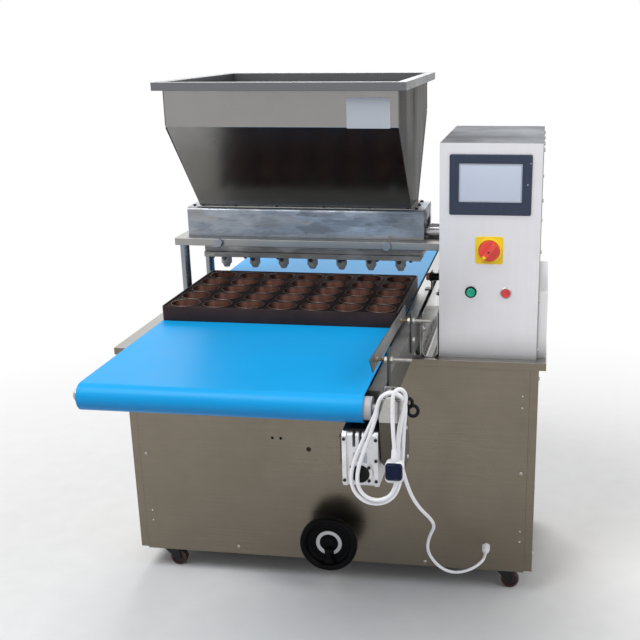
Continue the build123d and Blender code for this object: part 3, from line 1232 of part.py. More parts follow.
PIECES = {
    "base_frame": base_frame,
    "front_panel": front_panel,
    "left_panel": lambda: side_panel(-1),
    "right_panel": lambda: side_panel(1),
    "back_panel": back_panel,
    "deck": deck,
    "control_box": control_box,
    "control_side_cover": control_side_cover,
    "side_duct": side_duct,
    "hmi_bezel": hmi_bezel,
    "hmi_screen": hmi_screen,
    "switch_plate": switch_plate,
    "switch_knob": switch_knob,
    "button_bezels": button_bezels,
    "green_button": lambda: push_button(-1),
    "red_button": lambda: push_button(1),
    "electrical_plate": electrical_plate,
    "conveyor_frame": conveyor_frame,
    "conveyor_belt": conveyor_belt,
    "drive_roller": drive_roller,
    "idler_roller": idler_roller,
    "output_pulley": output_pulley,
    "drive_belt": drive_belt,
    "drive_guard": drive_guard,
    "gearbox": gearbox,
    "gear_motor": gear_motor,
    "support_trough": support_trough,
    "guide_rail": guide_rail,
    "guide_brackets": guide_brackets,
    "tray_sensor": tray_sensor,
    "tray": tray,
    "head_frame": head_frame,
    "manifold": manifold,
    "nozzle_bar": nozzle_bar,
    "nozzles": nozzles,
    "front_roller": lambda: pump_roller(PUMP_YS[0]),
    "rear_roller": lambda: pump_roller(PUMP_YS[1]),
    "hopper": hopper,
    "frame_knobs": frame_knobs,
    "posts": posts,
    "post_bushes": post_bushes,
    "lift_yoke": lift_yoke,
    "lead_screw": lead_screw,
    "wheel_shaft": wheel_shaft,
    "handwheel": handwheel,
    "wheel_handle": wheel_handle,
    "shaft_bearings": shaft_bearings,
    "pump_drive": pump_drive,
    "cable_gland": cable_gland,
    "cord_tail": cord_tail,
    "cord_hank": cord_hank,
    "plug": plug,
}
for place, cx, cy, trail, braked in CASTERS:
    PIECES[f"caster_fork_{place}"] = lambda a=cx, b=cy, t=trail, k=braked: caster_fork(a, b, t, k)
    PIECES[f"caster_wheel_{place}"] = lambda a=cx, b=cy, t=trail: caster_wheel(a, b, t)

os.makedirs("parts", exist_ok=True)
for name, make in PIECES.items():
    export_step(make(), f"parts/{name}.step")
print(len(PIECES), "nodes")
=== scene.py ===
"""Looks of the cupcake filling machine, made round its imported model.

The scene is in metres. The makers below take millimetres in the machine's own frame: +X to the operator's
right, +Y along the belt to the back, +Z up, and the origin on the floor.
"""

import json
import math

import bmesh
import bpy
from mathutils import Matrix, Vector

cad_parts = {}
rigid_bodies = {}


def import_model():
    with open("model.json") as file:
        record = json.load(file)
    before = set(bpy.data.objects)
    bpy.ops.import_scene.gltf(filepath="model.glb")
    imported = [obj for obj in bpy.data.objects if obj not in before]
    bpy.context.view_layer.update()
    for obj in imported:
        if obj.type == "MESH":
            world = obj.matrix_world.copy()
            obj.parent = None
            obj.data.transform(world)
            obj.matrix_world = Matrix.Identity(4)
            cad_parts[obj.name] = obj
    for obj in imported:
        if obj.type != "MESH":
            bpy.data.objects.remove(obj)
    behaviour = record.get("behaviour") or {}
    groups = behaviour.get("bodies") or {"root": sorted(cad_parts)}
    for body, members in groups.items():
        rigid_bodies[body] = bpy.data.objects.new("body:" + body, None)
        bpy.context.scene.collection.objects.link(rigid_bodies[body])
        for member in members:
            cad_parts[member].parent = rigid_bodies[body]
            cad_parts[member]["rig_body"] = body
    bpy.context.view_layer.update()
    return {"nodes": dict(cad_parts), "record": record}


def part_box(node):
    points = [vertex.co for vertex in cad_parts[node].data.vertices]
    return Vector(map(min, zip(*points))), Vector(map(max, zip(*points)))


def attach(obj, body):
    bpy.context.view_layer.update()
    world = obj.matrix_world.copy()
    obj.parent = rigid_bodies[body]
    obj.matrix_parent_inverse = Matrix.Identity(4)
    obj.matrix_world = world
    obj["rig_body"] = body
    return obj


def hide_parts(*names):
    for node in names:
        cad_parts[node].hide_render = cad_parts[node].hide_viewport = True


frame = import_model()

MM = 0.001
NODES = frame["nodes"]
SLOT_OF = {part["node"]: part["material_slot"] for part in frame["record"]["subparts"]}
SCENE = bpy.context.scene
QUARTER = math.pi / 2
FACING = {
    "+z": (0, 0, 0), "-z": (math.pi, 0, 0), "-y": (QUARTER, 0, 0), "+y": (-QUARTER, 0, 0),
    "+x": (0, QUARTER, 0), "-x": (0, -QUARTER, 0),
}


# Shader expressions

class Signal:
    """A socket in a node tree. Arithmetic on values adds Math nodes."""

    def __init__(self, graph, socket):
        self.graph = graph
        self.socket = socket

    def math(self, operation, first, second):
        return self.graph.node("ShaderNodeMath", {0: first, 1: second}, operation=operation)

    def __add__(self, other):
        return self.math("ADD", self, other)

    def __sub__(self, other):
        return self.math("SUBTRACT", self, other)

    def __rsub__(self, other):
        return self.math("SUBTRACT", other, self)

    def __mul__(self, other):
        return self.math("MULTIPLY", self, other)

    __radd__ = __add__
    __rmul__ = __mul__


class Graph:
    """A node tree that is written as expressions."""

    def __init__(self, tree):
        self.tree = tree

    def node(self, kind, inputs=None, output=0, **settings):
        made = self.tree.nodes.new(kind)
        for name, value in settings.items():
            setattr(made, name, value)
        for key, value in (inputs or {}).items():
            self.feed(made.inputs[key], value)
        return Signal(self, made.outputs[output])

    def feed(self, socket, value):
        if isinstance(value, Signal):
            self.tree.links.new(value.socket, socket)
        else:
            socket.default_value = value

    def position(self, stretch=(1, 1, 1)):
        place = self.node("ShaderNodeTexCoord", output="Object")
        return self.node("ShaderNodeMapping", {"Vector": place, "Scale": stretch})

    def coordinate(self, axis):
        return self.node("ShaderNodeSeparateXYZ", {"Vector": self.position()}, axis)

    def noise(self, scale, stretch=(1, 1, 1), detail=3.0, low=0.3, high=0.7):
        """Noise spread over 0 to 1; scale is in waves for each metre."""
        raw = self.node(
            "ShaderNodeTexNoise",
            {"Vector": self.position(stretch), "Scale": scale, "Detail": detail, "Roughness": 0.55},
        )
        return self.spread(raw, low, high)

    def spread(self, value, low, high, to_low=0.0, to_high=1.0):
        return self.node(
            "ShaderNodeMapRange",
            {"Value": value, "From Min": low, "From Max": high, "To Min": to_low, "To Max": to_high},
        )

    def blend(self, factor, first, second):
        return self.node(
            "ShaderNodeMix", {"Factor": factor, 6: shade(first), 7: shade(second)}, 2, data_type="RGBA"
        )


def shade(colour):
    """A colour as a socket takes it."""
    return colour if isinstance(colour, Signal) else (*colour, 1.0)


def scaled(colour, share):
    return tuple(c * share for c in colour)


class Finish(Graph):
    """A material of one shader, whose constants are set here and whose changing values are fed later."""

    def __init__(self, name, **constants):
        self.material = bpy.data.materials.new(name)
        self.material.use_nodes = True
        super().__init__(self.material.node_tree)
        self.shader = self.tree.nodes["Principled BSDF"]
        for key, value in constants.items():
            self.set(key, value)

    def set(self, key, value):
        socket = self.shader.inputs[key.replace("_", " ").title().replace("Ior", "IOR")]
        self.feed(socket, value)

    def surface(self, tone, roughness, relief, strength, depth):
        """Feeds colour, roughness and a relief of depth millimetres, and gives the material."""
        self.set("base_color", tone)
        self.set("roughness", roughness)
        self.set("normal", self.node(
            "ShaderNodeBump", {"Height": relief, "Strength": strength, "Distance": depth * MM}
        ))
        return self.material


# Finishes of the machine

def sheet_metal(name, colour, roughness, grain, lines, smear, wave=0.0, glance=1.0, metallic=1.0, painted_reflection_foot=None):
    """Sheet with brush lines along one axis, hand-sized smears, a slow wave where thin and, where asked, a
    painted reflection darkening it towards its bottom.

    glance is how bright the sheet is where it is seen almost edge on.
    """
    finish = Finish(name, metallic=metallic, specular_tint=(glance, glance, glance, 1.0))
    brush = finish.noise(1.0, grain, 4.0)
    smears = finish.noise(3.5, detail=5.0)
    drops = finish.noise(28.0, detail=6.0, low=0.42, high=0.75)
    tone = finish.blend(brush, scaled(colour, 1 - lines), scaled(colour, 1 + lines))
    tone = finish.blend(smears * 0.55 + drops * 0.15, tone, scaled(colour, 1 - smear))
    if painted_reflection_foot:
        # Painted reflection: darker towards the bottom between two heights, standing in for the darker deck
        # mirrored in the sheet.
        low = finish.spread(finish.coordinate("Z"), painted_reflection_foot[0] * MM, painted_reflection_foot[1] * MM, 1.0, 0.0)
        tone = finish.blend(low * low * (0.7 + 0.3 * smears), tone, scaled(colour, 0.42))
    brushed, ridge, strength = (0.015, 0.002, 0.35) if wave else (0.07, 0.35, 0.12)
    roughness = roughness + 0.10 * smears + brushed * brush + 0.04 * drops - 0.08
    relief = brush * ridge + wave * finish.noise(2.2, (1, 1.5, 3.2), 1.5)
    return finish.surface(tone, roughness, relief, strength, 0.25 + wave)


def milled_metal(name, colour, shine):
    """Milled aluminium: cutter lines, scraped patches, scratches, dull oxide and rubbed streaks."""
    finish = Finish(name, metallic=1.0)
    place = finish.position((0.32, 1, 1.5))
    wobble = finish.node("ShaderNodeTexNoise", {"Vector": place, "Scale": 26.0, "Detail": 9.0}, "Color")
    place = finish.node(
        "ShaderNodeVectorMath", {0: wobble, 1: (0.08,) * 3, 2: place}, operation="MULTIPLY_ADD"
    )
    patch = finish.node("ShaderNodeTexVoronoi", {"Vector": place, "Scale": 32.0}, "Color")
    deep = finish.node("ShaderNodeSeparateColor", {"Color": patch}, "Red")
    warm = finish.node("ShaderNodeSeparateColor", {"Color": patch}, "Green")
    lines = finish.noise(1.0, (6, 420, 420))
    scratch = finish.noise(1.0, (34, 300, 420), low=0.56, high=0.66)
    oxide = finish.noise(9.0, (0.6, 1, 1.6), 8.0, low=0.42, high=0.60)
    rubbed = finish.noise(13.0, (0.5, 1.2, 1.5), 7.0, low=0.50, high=0.60)
    dull = scaled(colour, 0.62)
    grey = sum(colour) / 3
    tone = finish.blend(deep * 0.8, scaled(colour, 1.2), dull)
    tone = finish.blend(warm * warm * 0.8, tone, (grey * 1.12, grey * 1.06, grey))
    tone = finish.blend(oxide * 0.5, tone, dull)
    tone = finish.blend(rubbed * 0.42 + lines * 0.12, tone, tuple(c * 0.9 + 0.20 for c in colour))
    tone = finish.blend(scratch * 0.45, tone, scaled(colour, 0.45))
    roughness = shine + 0.16 * deep + 0.10 * oxide - 0.10 * rubbed
    return finish.surface(tone, roughness, lines * 0.6 + oxide * 0.4, 0.25, 0.12)


def streaked_metal(name, dark, light, roughness):
    """Thin polished side sheet, whose slow buckles are a relief and whose reflections of them are painted
    down it as dark and light streaks.
    """
    finish = Finish(name, metallic=1.0, specular_tint=(0.25, 0.25, 0.25, 1.0))
    # Painted reflection: the streaks set the colour from dark to light, and the same streaks are the
    # buckles' relief.
    buckle_and_painted_reflection = finish.noise(1.0, (1, 5.5, 0.9), 2.0, low=0.36, high=0.64)
    stain = finish.noise(9.0, (1, 1, 0.5), 5.0, low=0.45, high=0.75)
    tone = finish.blend(stain * 0.2, finish.blend(buckle_and_painted_reflection, dark, light), (0.20, 0.15, 0.12))
    return finish.surface(tone, roughness + 0.14 * stain, buckle_and_painted_reflection, 0.3, 1.2)


def turned_metal(name, colour, roughness):
    """Ground or turned steel with fine tool marks and thumbed spots."""
    finish = Finish(name, metallic=1.0)
    marks = finish.noise(420.0, detail=2.0)
    spots = finish.noise(22.0, detail=4.0)
    tone = finish.blend(spots, colour, scaled(colour, 0.8))
    return finish.surface(tone, roughness + 0.12 * spots + 0.05 * marks, marks, 0.10, 0.08)


def cast_metal(name, colour):
    """Die-cast aluminium with a fine sand skin."""
    finish = Finish(name, metallic=0.55)
    sand = finish.noise(900.0, detail=2.0)
    cloud = finish.noise(30.0, detail=4.0)
    tone = finish.blend(cloud, colour, scaled(colour, 0.84))
    return finish.surface(tone, 0.42 + 0.14 * sand, sand, 0.35, 0.15)


def coated(name, colour, roughness, spots=0.1, peel=0.2, shine=0.5, metallic=0.0):
    """Paint or powder coat with a slight orange peel and rubbed places."""
    finish = Finish(name, metallic=metallic, specular_ior_level=shine)
    skin = finish.noise(260.0, detail=2.0)
    rubbed = finish.noise(7.0, detail=6.0)
    tone = finish.blend(rubbed, colour, scaled(colour, 1 - spots))
    return finish.surface(tone, roughness + 0.10 * rubbed, skin, peel, 0.12)


def moulded(name, colour, roughness, grain=0.3, scuff=0.12, shine=0.45):
    """Moulded plastic or rubber: a fine spark-eroded skin with a few scuffs."""
    finish = Finish(name, specular_ior_level=shine)
    skin = finish.noise(1300.0, detail=2.0)
    scuffs = finish.noise(60.0, (1, 1, 0.4), 7.0, low=0.52, high=0.85)
    tone = finish.blend(scuffs, colour, tuple(c + scuff * (1 - c) * 0.35 for c in colour))
    return finish.surface(tone, roughness + 0.16 * scuffs + 0.05 * skin, skin, grain, 0.06)


def belt_cloth():
    """The belt's blue polyurethane skin: satin, with the print of its weave, and painted shade darkening its
    nose and underside.
    """
    finish = Finish("belt_skin", specular_ior_level=0.22)
    warp, weft = (
        finish.node(
            "ShaderNodeTexWave", {"Vector": finish.position(), "Scale": 420.0, "Distortion": 0.6},
            bands_direction=axis,
        )
        for axis in "XY"
    )
    dull = finish.noise(4.0, detail=5.0)
    fleck = finish.noise(240.0, low=0.6, high=0.8)
    # Painted shade: the blue darkens below the top run, round the nose and underneath.
    below = finish.spread(finish.coordinate("Z"), 0.812, 0.775)
    tone = finish.blend(dull * 0.6, (0.002, 0.36, 0.80), (0.004, 0.40, 0.86))
    tone = finish.blend(fleck * 0.25, tone, (0.02, 0.44, 0.88))
    tone = finish.blend(below * 0.75, tone, (0.001, 0.17, 0.46))
    return finish.surface(tone, 0.36 + 0.12 * dull, (warp + weft) * 0.5, 0.12, 0.08)


def tray_coat():
    """The tray's baked-on non-stick coat: dark, with a bronze sheen where it is rubbed."""
    finish = Finish("tray_coat", metallic=0.5, specular_ior_level=0.25)
    rubbed = finish.noise(11.0, detail=6.0)
    grain = finish.noise(700.0, detail=2.0)
    tone = finish.blend(rubbed * 0.7, (0.020, 0.013, 0.015), (0.050, 0.030, 0.028))
    return finish.surface(tone, 0.34 + 0.12 * grain + 0.08 * rubbed, grain, 0.2, 0.06)


def cup_coat():
    """The same coat on the cups: near black on the plate, pale on the rims as rubbed wear and a painted
    highlight, coppery inside, with painted shade low in each cup.
    """
    finish = Finish(
        "cup_coat", metallic=0.8, specular_ior_level=0.25, specular_tint=(0.42, 0.36, 0.34, 1.0)
    )
    height = finish.coordinate("Z")
    inside = finish.spread(height, 0.8552, 0.853)
    # Painted shade: each cup's wall darkens towards its bottom.
    deep = finish.spread(height, 0.838, 0.824)
    # Rubbed wear and painted highlight: a pale line along the top of each cup's rim.
    rim = finish.spread(height, 0.8559, 0.8564)
    rubbed = finish.noise(11.0, detail=6.0)
    grain = finish.noise(700.0, detail=2.0)
    plate = finish.blend(rubbed * 0.7, (0.016, 0.012, 0.014), (0.034, 0.022, 0.021))
    plate = finish.blend(rim * 0.8, plate, (0.30, 0.25, 0.22))
    wall = finish.blend(rubbed * 0.7, (0.064, 0.030, 0.023), (0.125, 0.058, 0.043))
    wall = finish.blend(deep * 0.75, wall, (0.030, 0.015, 0.012))
    tone = finish.blend(inside, plate, wall)
    return finish.surface(tone, 0.34 + 0.10 * grain + 0.08 * rubbed, grain, 0.2, 0.06)


def threaded(name, colour, axis, pitch, yellow=None):
    """A zinc-plated thread, ridged along one axis; yellow is the X at which a yellowed end stops."""
    finish = Finish(name, metallic=1.0)
    ridges = finish.node(
        "ShaderNodeTexWave", {"Vector": finish.position(), "Scale": math.pi / 10 / (pitch * MM)},
        bands_direction=axis, wave_profile="TRI",
    )
    stain = finish.noise(90.0, detail=4.0)
    tone = finish.blend(stain, colour, scaled(colour, 0.75))
    if yellow:
        end = finish.spread(finish.coordinate("X"), (yellow - 2) * MM, (yellow + 2) * MM, 1.0, 0.0)
        tone = finish.blend(end, tone, (0.36, 0.27, 0.12))
    tone = finish.blend(ridges * 0.5, tone, scaled(colour, 0.55))
    return finish.surface(tone, 0.34, ridges, 0.9, 0.5)


def touch_glass():
    """The panel's resting screen: pale grey-blue film behind a satin front, paler towards its top."""
    finish = Finish("touch_glass", roughness=0.22, specular_ior_level=0.5, coat_weight=0.4)
    rise = finish.spread(finish.coordinate("Z"), 1.10, 1.20)
    cloud = finish.noise(12.0, detail=4.0)
    tone = finish.blend(rise * 0.7 + cloud * 0.2, (0.48, 0.54, 0.66), (0.60, 0.66, 0.78))
    finish.set("base_color", tone)
    return finish.material


ACROSS = (5, 800, 800)
UPWARD = (800, 800, 5)
FINISH = {
    "belt_blue": belt_cloth(),
    # The box front's darkening towards its bottom is a painted reflection of the deck.
    "box_paint": sheet_metal(
        "box_steel", (0.76, 0.755, 0.785), 0.42, UPWARD, 0.04, 0.09, metallic=0.85, painted_reflection_foot=(696, 790)
    ),
    "cup_coat": cup_coat(),
    "touch_screen": touch_glass(),
    "tray_bronze": tray_coat(),
}
for maker, rows in (
    # name, colour, roughness, grain, lines, smear, wave, glance
    (sheet_metal, (
        ("panel_steel", (0.225, 0.195, 0.153), 0.31, ACROSS, 0.10, 0.2),
        # Lighter copy of the deck's steel for its top faces: painted light.
        ("deck_steel", (0.37, 0.36, 0.34), 0.34, ACROSS, 0.08, 0.15),
        ("side_steel", (0.40, 0.385, 0.37), 0.34, UPWARD, 0.08, 0.2, 0.0, 0.3),
        ("bright_steel", (0.43, 0.425, 0.415), 0.17, ACROSS, 0.06, 0.14, 0.6),
        ("hopper_steel", (0.29, 0.285, 0.276), 0.24, ACROSS, 0.015, 0.12, 0.9),
        # Darker copy of the hopper steel: painted shade on the rim and inside, dark seams on the welds.
        ("rim_steel", (0.165, 0.168, 0.178), 0.38, ACROSS, 0.06, 0.12),
        # Darker copy of the guard's steel for its side and lower faces: painted reflection.
        ("guard_side", (0.105, 0.096, 0.078), 0.40, UPWARD, 0.06, 0.15),
        ("ground_steel", (0.33, 0.325, 0.315), 0.34, ACROSS, 0.10, 0.22),
        # Darker copy of the frame's steel for the outer face of its right web: painted shade.
        ("web_steel", (0.20, 0.20, 0.198), 0.36, ACROSS, 0.12, 0.25),
        # Near-black copy of the steel for the bracket bars: painted shade.
        ("bracket_steel", (0.085, 0.085, 0.088), 0.36, UPWARD, 0.1, 0.2),
    )),
    # name, dark, light, roughness
    # The hopper's sides carry painted reflection streaks.
    (streaked_metal, (("hopper_side", (0.085, 0.084, 0.082), (0.50, 0.49, 0.47), 0.24),)),
    # name, colour, shine
    (milled_metal, (
        ("milled_aluminium", (0.225, 0.26, 0.31), 0.32), ("bar_steel", (0.27, 0.275, 0.28), 0.36),
    )),
    # name, colour, roughness
    (turned_metal, (
        ("machined_steel", (0.44, 0.44, 0.45), 0.22), ("zinc_steel", (0.50, 0.49, 0.46), 0.30),
        ("post_chrome", (0.27, 0.295, 0.33), 0.16), ("knob_steel", (0.30, 0.325, 0.36), 0.30),
        ("silver_ring", (0.56, 0.57, 0.58), 0.34), ("nozzle_bolt", (0.11, 0.115, 0.125), 0.2),
    )),
    # name, colour, axis, pitch, yellow
    (threaded, (
        ("rod_thread", (0.50, 0.49, 0.46), "X", 1.25, 252), ("screw_thread", (0.42, 0.42, 0.42), "Z", 4.0),
    )),
    # name, colour
    (cast_metal, (("cast_grey", (0.80, 0.80, 0.82)),)),
    # name, colour, roughness, spots, peel, shine, metallic
    (coated, (
        ("frame_paint", (0.10, 0.10, 0.105), 0.45),
        ("motor_paint", (0.13, 0.125, 0.115), 0.42),
        # Darker, bluer finish for the control box's top faces: painted shade.
        ("box_top", (0.27, 0.285, 0.31), 0.65, 0.62, 0.1, 0.15),
        # Near-white coat for the nozzles: their light grey, raised further as painted light for the
        # reflected light they get under the head.
        ("nozzle_steel", (0.86, 0.90, 0.93), 0.5, 0.15),
        ("bare_label", (0.43, 0.455, 0.50), 0.42, 0.04, 0.05),
        ("dark_screw", (0.030, 0.030, 0.032), 0.32, 0.1, 0.2, 0.5, 0.8),
    )),
    # name, colour, roughness, grain, scuff, shine
    (moulded, (
        ("black_plastic", (0.006, 0.006, 0.007), 0.30, 0.3, 0.05, 0.14),
        ("wheel_black", (0.0035, 0.0035, 0.004), 0.36, 0.3, 0.012, 0.06),
        ("slate_plastic", (0.030, 0.041, 0.072), 0.38, 0.3, 0.05, 0.3),
        ("screen_line", (0.36, 0.38, 0.43), 0.4, 0.05, 0.02),
        ("pale_cap", (0.46, 0.47, 0.49), 0.40),
        ("switch_yellow", (0.90, 0.63, 0.012), 0.30, 0.1, 0.05),
        ("switch_red", (0.80, 0.075, 0.055), 0.28, 0.1, 0.08),
        ("button_green", (0.004, 0.36, 0.21), 0.24, 0.05, 0.06),
        ("button_red", (0.66, 0.045, 0.05), 0.24, 0.05, 0.06),
        ("sensor_orange", (0.58, 0.15, 0.015), 0.35),
        ("caster_rubber", (0.036, 0.014, 0.012), 0.5),
        ("drive_rubber", (0.014, 0.014, 0.014), 0.6),
        ("cord_white", (0.86, 0.86, 0.90), 0.34, 0.1, 0.0),
        ("plug_navy", (0.002, 0.007, 0.034), 0.16, 0.05, 0.02, 0.14),
    )),
):
    for name, *values in rows:
        FINISH[name] = maker(name, *values)


# Shapes

ROUNDED_FROM = math.radians(40)
SMOOTH_BELOW = math.radians(38)


class Form:
    """A piece gathered from prisms, turned shapes and tubes, in millimetres."""

    def __init__(self):
        self.shape = bmesh.new()
        self.finish = 0

    def face(self, corners):
        corners = list(dict.fromkeys(corners))
        if len(corners) > 2:
            self.shape.faces.new(corners).material_index = self.finish

    def skin(self, rings, loop=False, ends=True):
        """Faces from ring to ring. A ring of one point is a tip; loop joins the last ring to the first."""
        rows = [[self.shape.verts.new(Vector(p) * MM) for p in ring] for ring in rings]
        for low, high in zip(rows, rows[1:] + rows[:1] if loop else rows[1:]):
            count = max(len(low), len(high))
            for i in range(count):
                j = (i + 1) % count
                self.face([
                    low[i % len(low)], low[j % len(low)], high[j % len(high)], high[i % len(high)]
                ])
        if ends and not loop:
            for row in rows[:1] + rows[1:][-1:]:
                self.face(row)
        return self

    def turned(self, profile, axis, centre, steps=48, loop=False):
        """A profile of (radius, height) points turned round an axis through centre."""
        return self.skin([
            [along(axis, height, a, b, centre) for a, b in circle(steps if radius > 0 else 1, radius)]
            for radius, height in profile
        ], loop=loop)

    def lofted(self, sections, axis, centre, steps=6, loop=False):
        """Round rectangles of (width, height, corner radius, place on the axis), skinned in order."""
        return self.skin([
            [along(axis, place, a, b) for a, b in round_rectangle(width, height, radius, steps, centre)]
            for width, height, radius, place in sections
        ], loop=loop)

    def prism(self, outline, axis, start, end):
        """An outline in the two other axes, pulled from start to end."""
        return self.skin([[along(axis, t, a, b) for a, b in outline] for t in (start, end)])

    def block(self, x0, x1, y0, y1, z0, z1):
        return self.prism([(x0, y0), (x1, y0), (x1, y1), (x0, y1)], "z", z0, z1)

    def tube(self, points, radius, steps=12, loop=False):
        """A round bar along points."""
        points = [Vector(p) for p in points]
        last = len(points) - 1
        side = None
        rings = []
        for i, point in enumerate(points):
            before = points[i - 1] if i or loop else point
            after = points[(i + 1) % (last + 1)] if i < last or loop else point
            ahead = (after - before).normalized()
            side = side or ahead.orthogonal()
            side = (side - ahead * side.dot(ahead)).normalized()
            other = ahead.cross(side)
            rings.append([point + radius * (c * side + s * other) for c, s in circle(steps, 1)])
        return self.skin(rings, loop=loop)

    def mesh(self, name, rounding=0.0):
        bmesh.ops.remove_doubles(self.shape, verts=self.shape.verts, dist=1e-6)
        bmesh.ops.recalc_face_normals(self.shape, faces=self.shape.faces)
        return rounded(self.shape, name, rounding)

    def piece(self, name, body, slot, finishes=None, replaces=(), rounding=0.0):
        return put(name, self.mesh(name, rounding), body, slot, finishes, replaces)


def along(axis, height, a, b, centre=(0, 0, 0)):
    """A point at height on an axis and at (a, b) across it, from centre."""
    point = {"x": (height, a, b), "y": (a, height, b), "z": (a, b, height)}[axis]
    return Vector(point) + Vector(centre)


def circle(count, radius, centre=(0, 0)):
    turns = [2 * math.pi * i / count for i in range(count)]
    return [(centre[0] + radius * math.cos(t), centre[1] + radius * math.sin(t)) for t in turns]


def round_rectangle(width, height, radius, steps, centre):
    """Points round a rectangle with round corners, the same number for each size."""
    points = []
    for k, (sx, sy) in enumerate(((1, 1), (-1, 1), (-1, -1), (1, -1))):
        for i in range(steps + 1):
            angle = QUARTER * (k + i / steps)
            points.append((
                centre[0] + sx * (width / 2 - radius) + radius * math.cos(angle),
                centre[1] + sy * (height / 2 - radius) + radius * math.sin(angle),
            ))
    return points


def rounded(shape, name, rounding, segments=2):
    """The shape as a mesh, with its sharp edges rounded and its curves shaded smooth."""
    mesh = bpy.data.meshes.new(name)
    shape.to_mesh(mesh)
    shape.free()
    mesh.polygons.foreach_set("use_smooth", [True] * len(mesh.polygons))
    if not rounding:
        mesh.set_sharp_from_angle(angle=SMOOTH_BELOW)
        return mesh
    holder = bpy.data.objects.new(name, mesh)
    SCENE.collection.objects.link(holder)
    bevel = holder.modifiers.new("rounding", "BEVEL")
    bevel.width = rounding * MM
    bevel.segments = segments
    bevel.limit_method = "ANGLE"
    bevel.angle_limit = ROUNDED_FROM
    holder.modifiers.new("flat_faces_stay_flat", "WEIGHTED_NORMAL")
    return plain_mesh(holder, name)


def plain_mesh(holder, name):
    """The holder's mesh with its modifiers applied; the holder is taken away."""
    bpy.context.view_layer.update()
    evaluated = holder.evaluated_get(bpy.context.evaluated_depsgraph_get())
    mesh = bpy.data.meshes.new_from_object(evaluated)
    mesh.name = name
    bpy.data.objects.remove(holder)
    return mesh


def put(name, mesh, body, slot, finishes=None, replaces=()):
    """A piece that rides its body, in its slot's finish unless others are given."""
    for finish in (finishes or [slot])[len(mesh.materials):]:
        mesh.materials.append(FINISH[finish])
    piece = bpy.data.objects.new(name, mesh)
    SCENE.collection.objects.link(piece)
    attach(piece, body)
    if replaces:
        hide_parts(*replaces)
    return piece


def softened(node, rounding, finishes=None, pick=None, segments=2, reshape=None):
    """A copy of a CAD node with rounded edges; pick gives a face's finish by its centre and facing."""
    shape = bmesh.new()
    shape.from_mesh(NODES[node].data)
    if reshape:
        for corner in shape.verts:
            corner.co = Vector(reshape(corner.co / MM)) * MM
    bmesh.ops.remove_doubles(shape, verts=shape.verts, dist=2e-6)
    bmesh.ops.dissolve_limit(shape, angle_limit=math.radians(1.5), verts=shape.verts, edges=shape.edges)
    for face in shape.faces:
        face.material_index = pick(face.calc_center_median() / MM, face.normal) if pick else 0
    mesh = rounded(shape, node + "_soft", rounding, segments)
    return put(node + "_soft", mesh, NODES[node]["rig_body"], SLOT_OF[node], finishes, [node])


def copies_tree():
    """Stands a copy of one shape on each point, turned as the point's attribute says and spun at random."""
    tree = bpy.data.node_groups.new("copies_on_points", "GeometryNodeTree")
    sockets = {}
    for name, kind in (
        ("Points", "NodeSocketGeometry"), ("Shape", "NodeSocketObject"), ("Size", "NodeSocketFloat"),
        ("Spin", "NodeSocketFloat"), ("Finish", "NodeSocketMaterial"),
    ):
        sockets[name] = tree.interface.new_socket(name, in_out="INPUT", socket_type=kind).identifier
    tree.interface.new_socket("Copies", in_out="OUTPUT", socket_type="NodeSocketGeometry")
    graph = Graph(tree)
    given = tree.nodes.new("NodeGroupInput")

    def value(name):
        return Signal(graph, given.outputs[name])

    shape = graph.node("GeometryNodeObjectInfo", {"Object": value("Shape")}, "Geometry")
    turn = graph.node("GeometryNodeInputNamedAttribute", {"Name": "turn"}, data_type="FLOAT_VECTOR")
    turn = graph.node("FunctionNodeEulerToRotation", {0: turn})
    chance = graph.node("FunctionNodeRandomValue", {3: value("Spin"), "Seed": 7}, 1, data_type="FLOAT")
    spin = graph.node("FunctionNodeAxisAngleToRotation", {"Angle": chance})
    turn = graph.node("FunctionNodeRotateRotation", {0: turn, 1: spin}, rotation_space="LOCAL")
    made = graph.node(
        "GeometryNodeInstanceOnPoints",
        {"Points": value("Points"), "Instance": shape, "Rotation": turn, "Scale": value("Size")},
    )
    made = graph.node("GeometryNodeRealizeInstances", {"Geometry": made})
    made = graph.node("GeometryNodeSetMaterial", {"Geometry": made, "Material": value("Finish")})
    result = tree.nodes.new("NodeGroupOutput")
    graph.feed(result.inputs[0], made)
    return tree, sockets


COPIES, COPY_INPUT = copies_tree()
# Largest random spin of a copy, in radians
ANY_TURN, SOME_TURN = 6.28, 1.0


def copies(name, shape, places, body="cabinet", slot="zinc_steel", finish=None, spin=0.0):
    """Copies of a shape that stands on the origin and faces +Z, at places of (point, facing)."""
    finish = finish or slot
    points = bpy.data.meshes.new(name)
    points.from_pydata([Vector(point) * MM for point, _ in places], [], [])
    turn = points.attributes.new("turn", "FLOAT_VECTOR", "POINT")
    for datum, (_, facing) in zip(turn.data, places):
        datum.vector = FACING[facing]
    model = bpy.data.objects.new(name + "_model", shape)
    holder = bpy.data.objects.new(name, points)
    for thing in (model, holder):
        SCENE.collection.objects.link(thing)
    modifier = holder.modifiers.new("copies", "NODES")
    modifier.node_group = COPIES
    for key, value in (("Shape", model), ("Size", 1.0), ("Spin", spin), ("Finish", FINISH[finish])):
        modifier[COPY_INPUT[key]] = value
    mesh = plain_mesh(holder, name)
    bpy.data.objects.remove(model)
    return put(name, mesh, body, slot, [finish])


# Camera, studio and floor

PHOTO_PIXELS = 640
FOCAL_PIXELS = 982.81
SENSOR_WIDTH = 36.0
CAMERA_PLACE = (0.55645, -2.52995, 1.5)
YAW, PITCH, ROLL = -0.1469, 0.3063, -0.0085


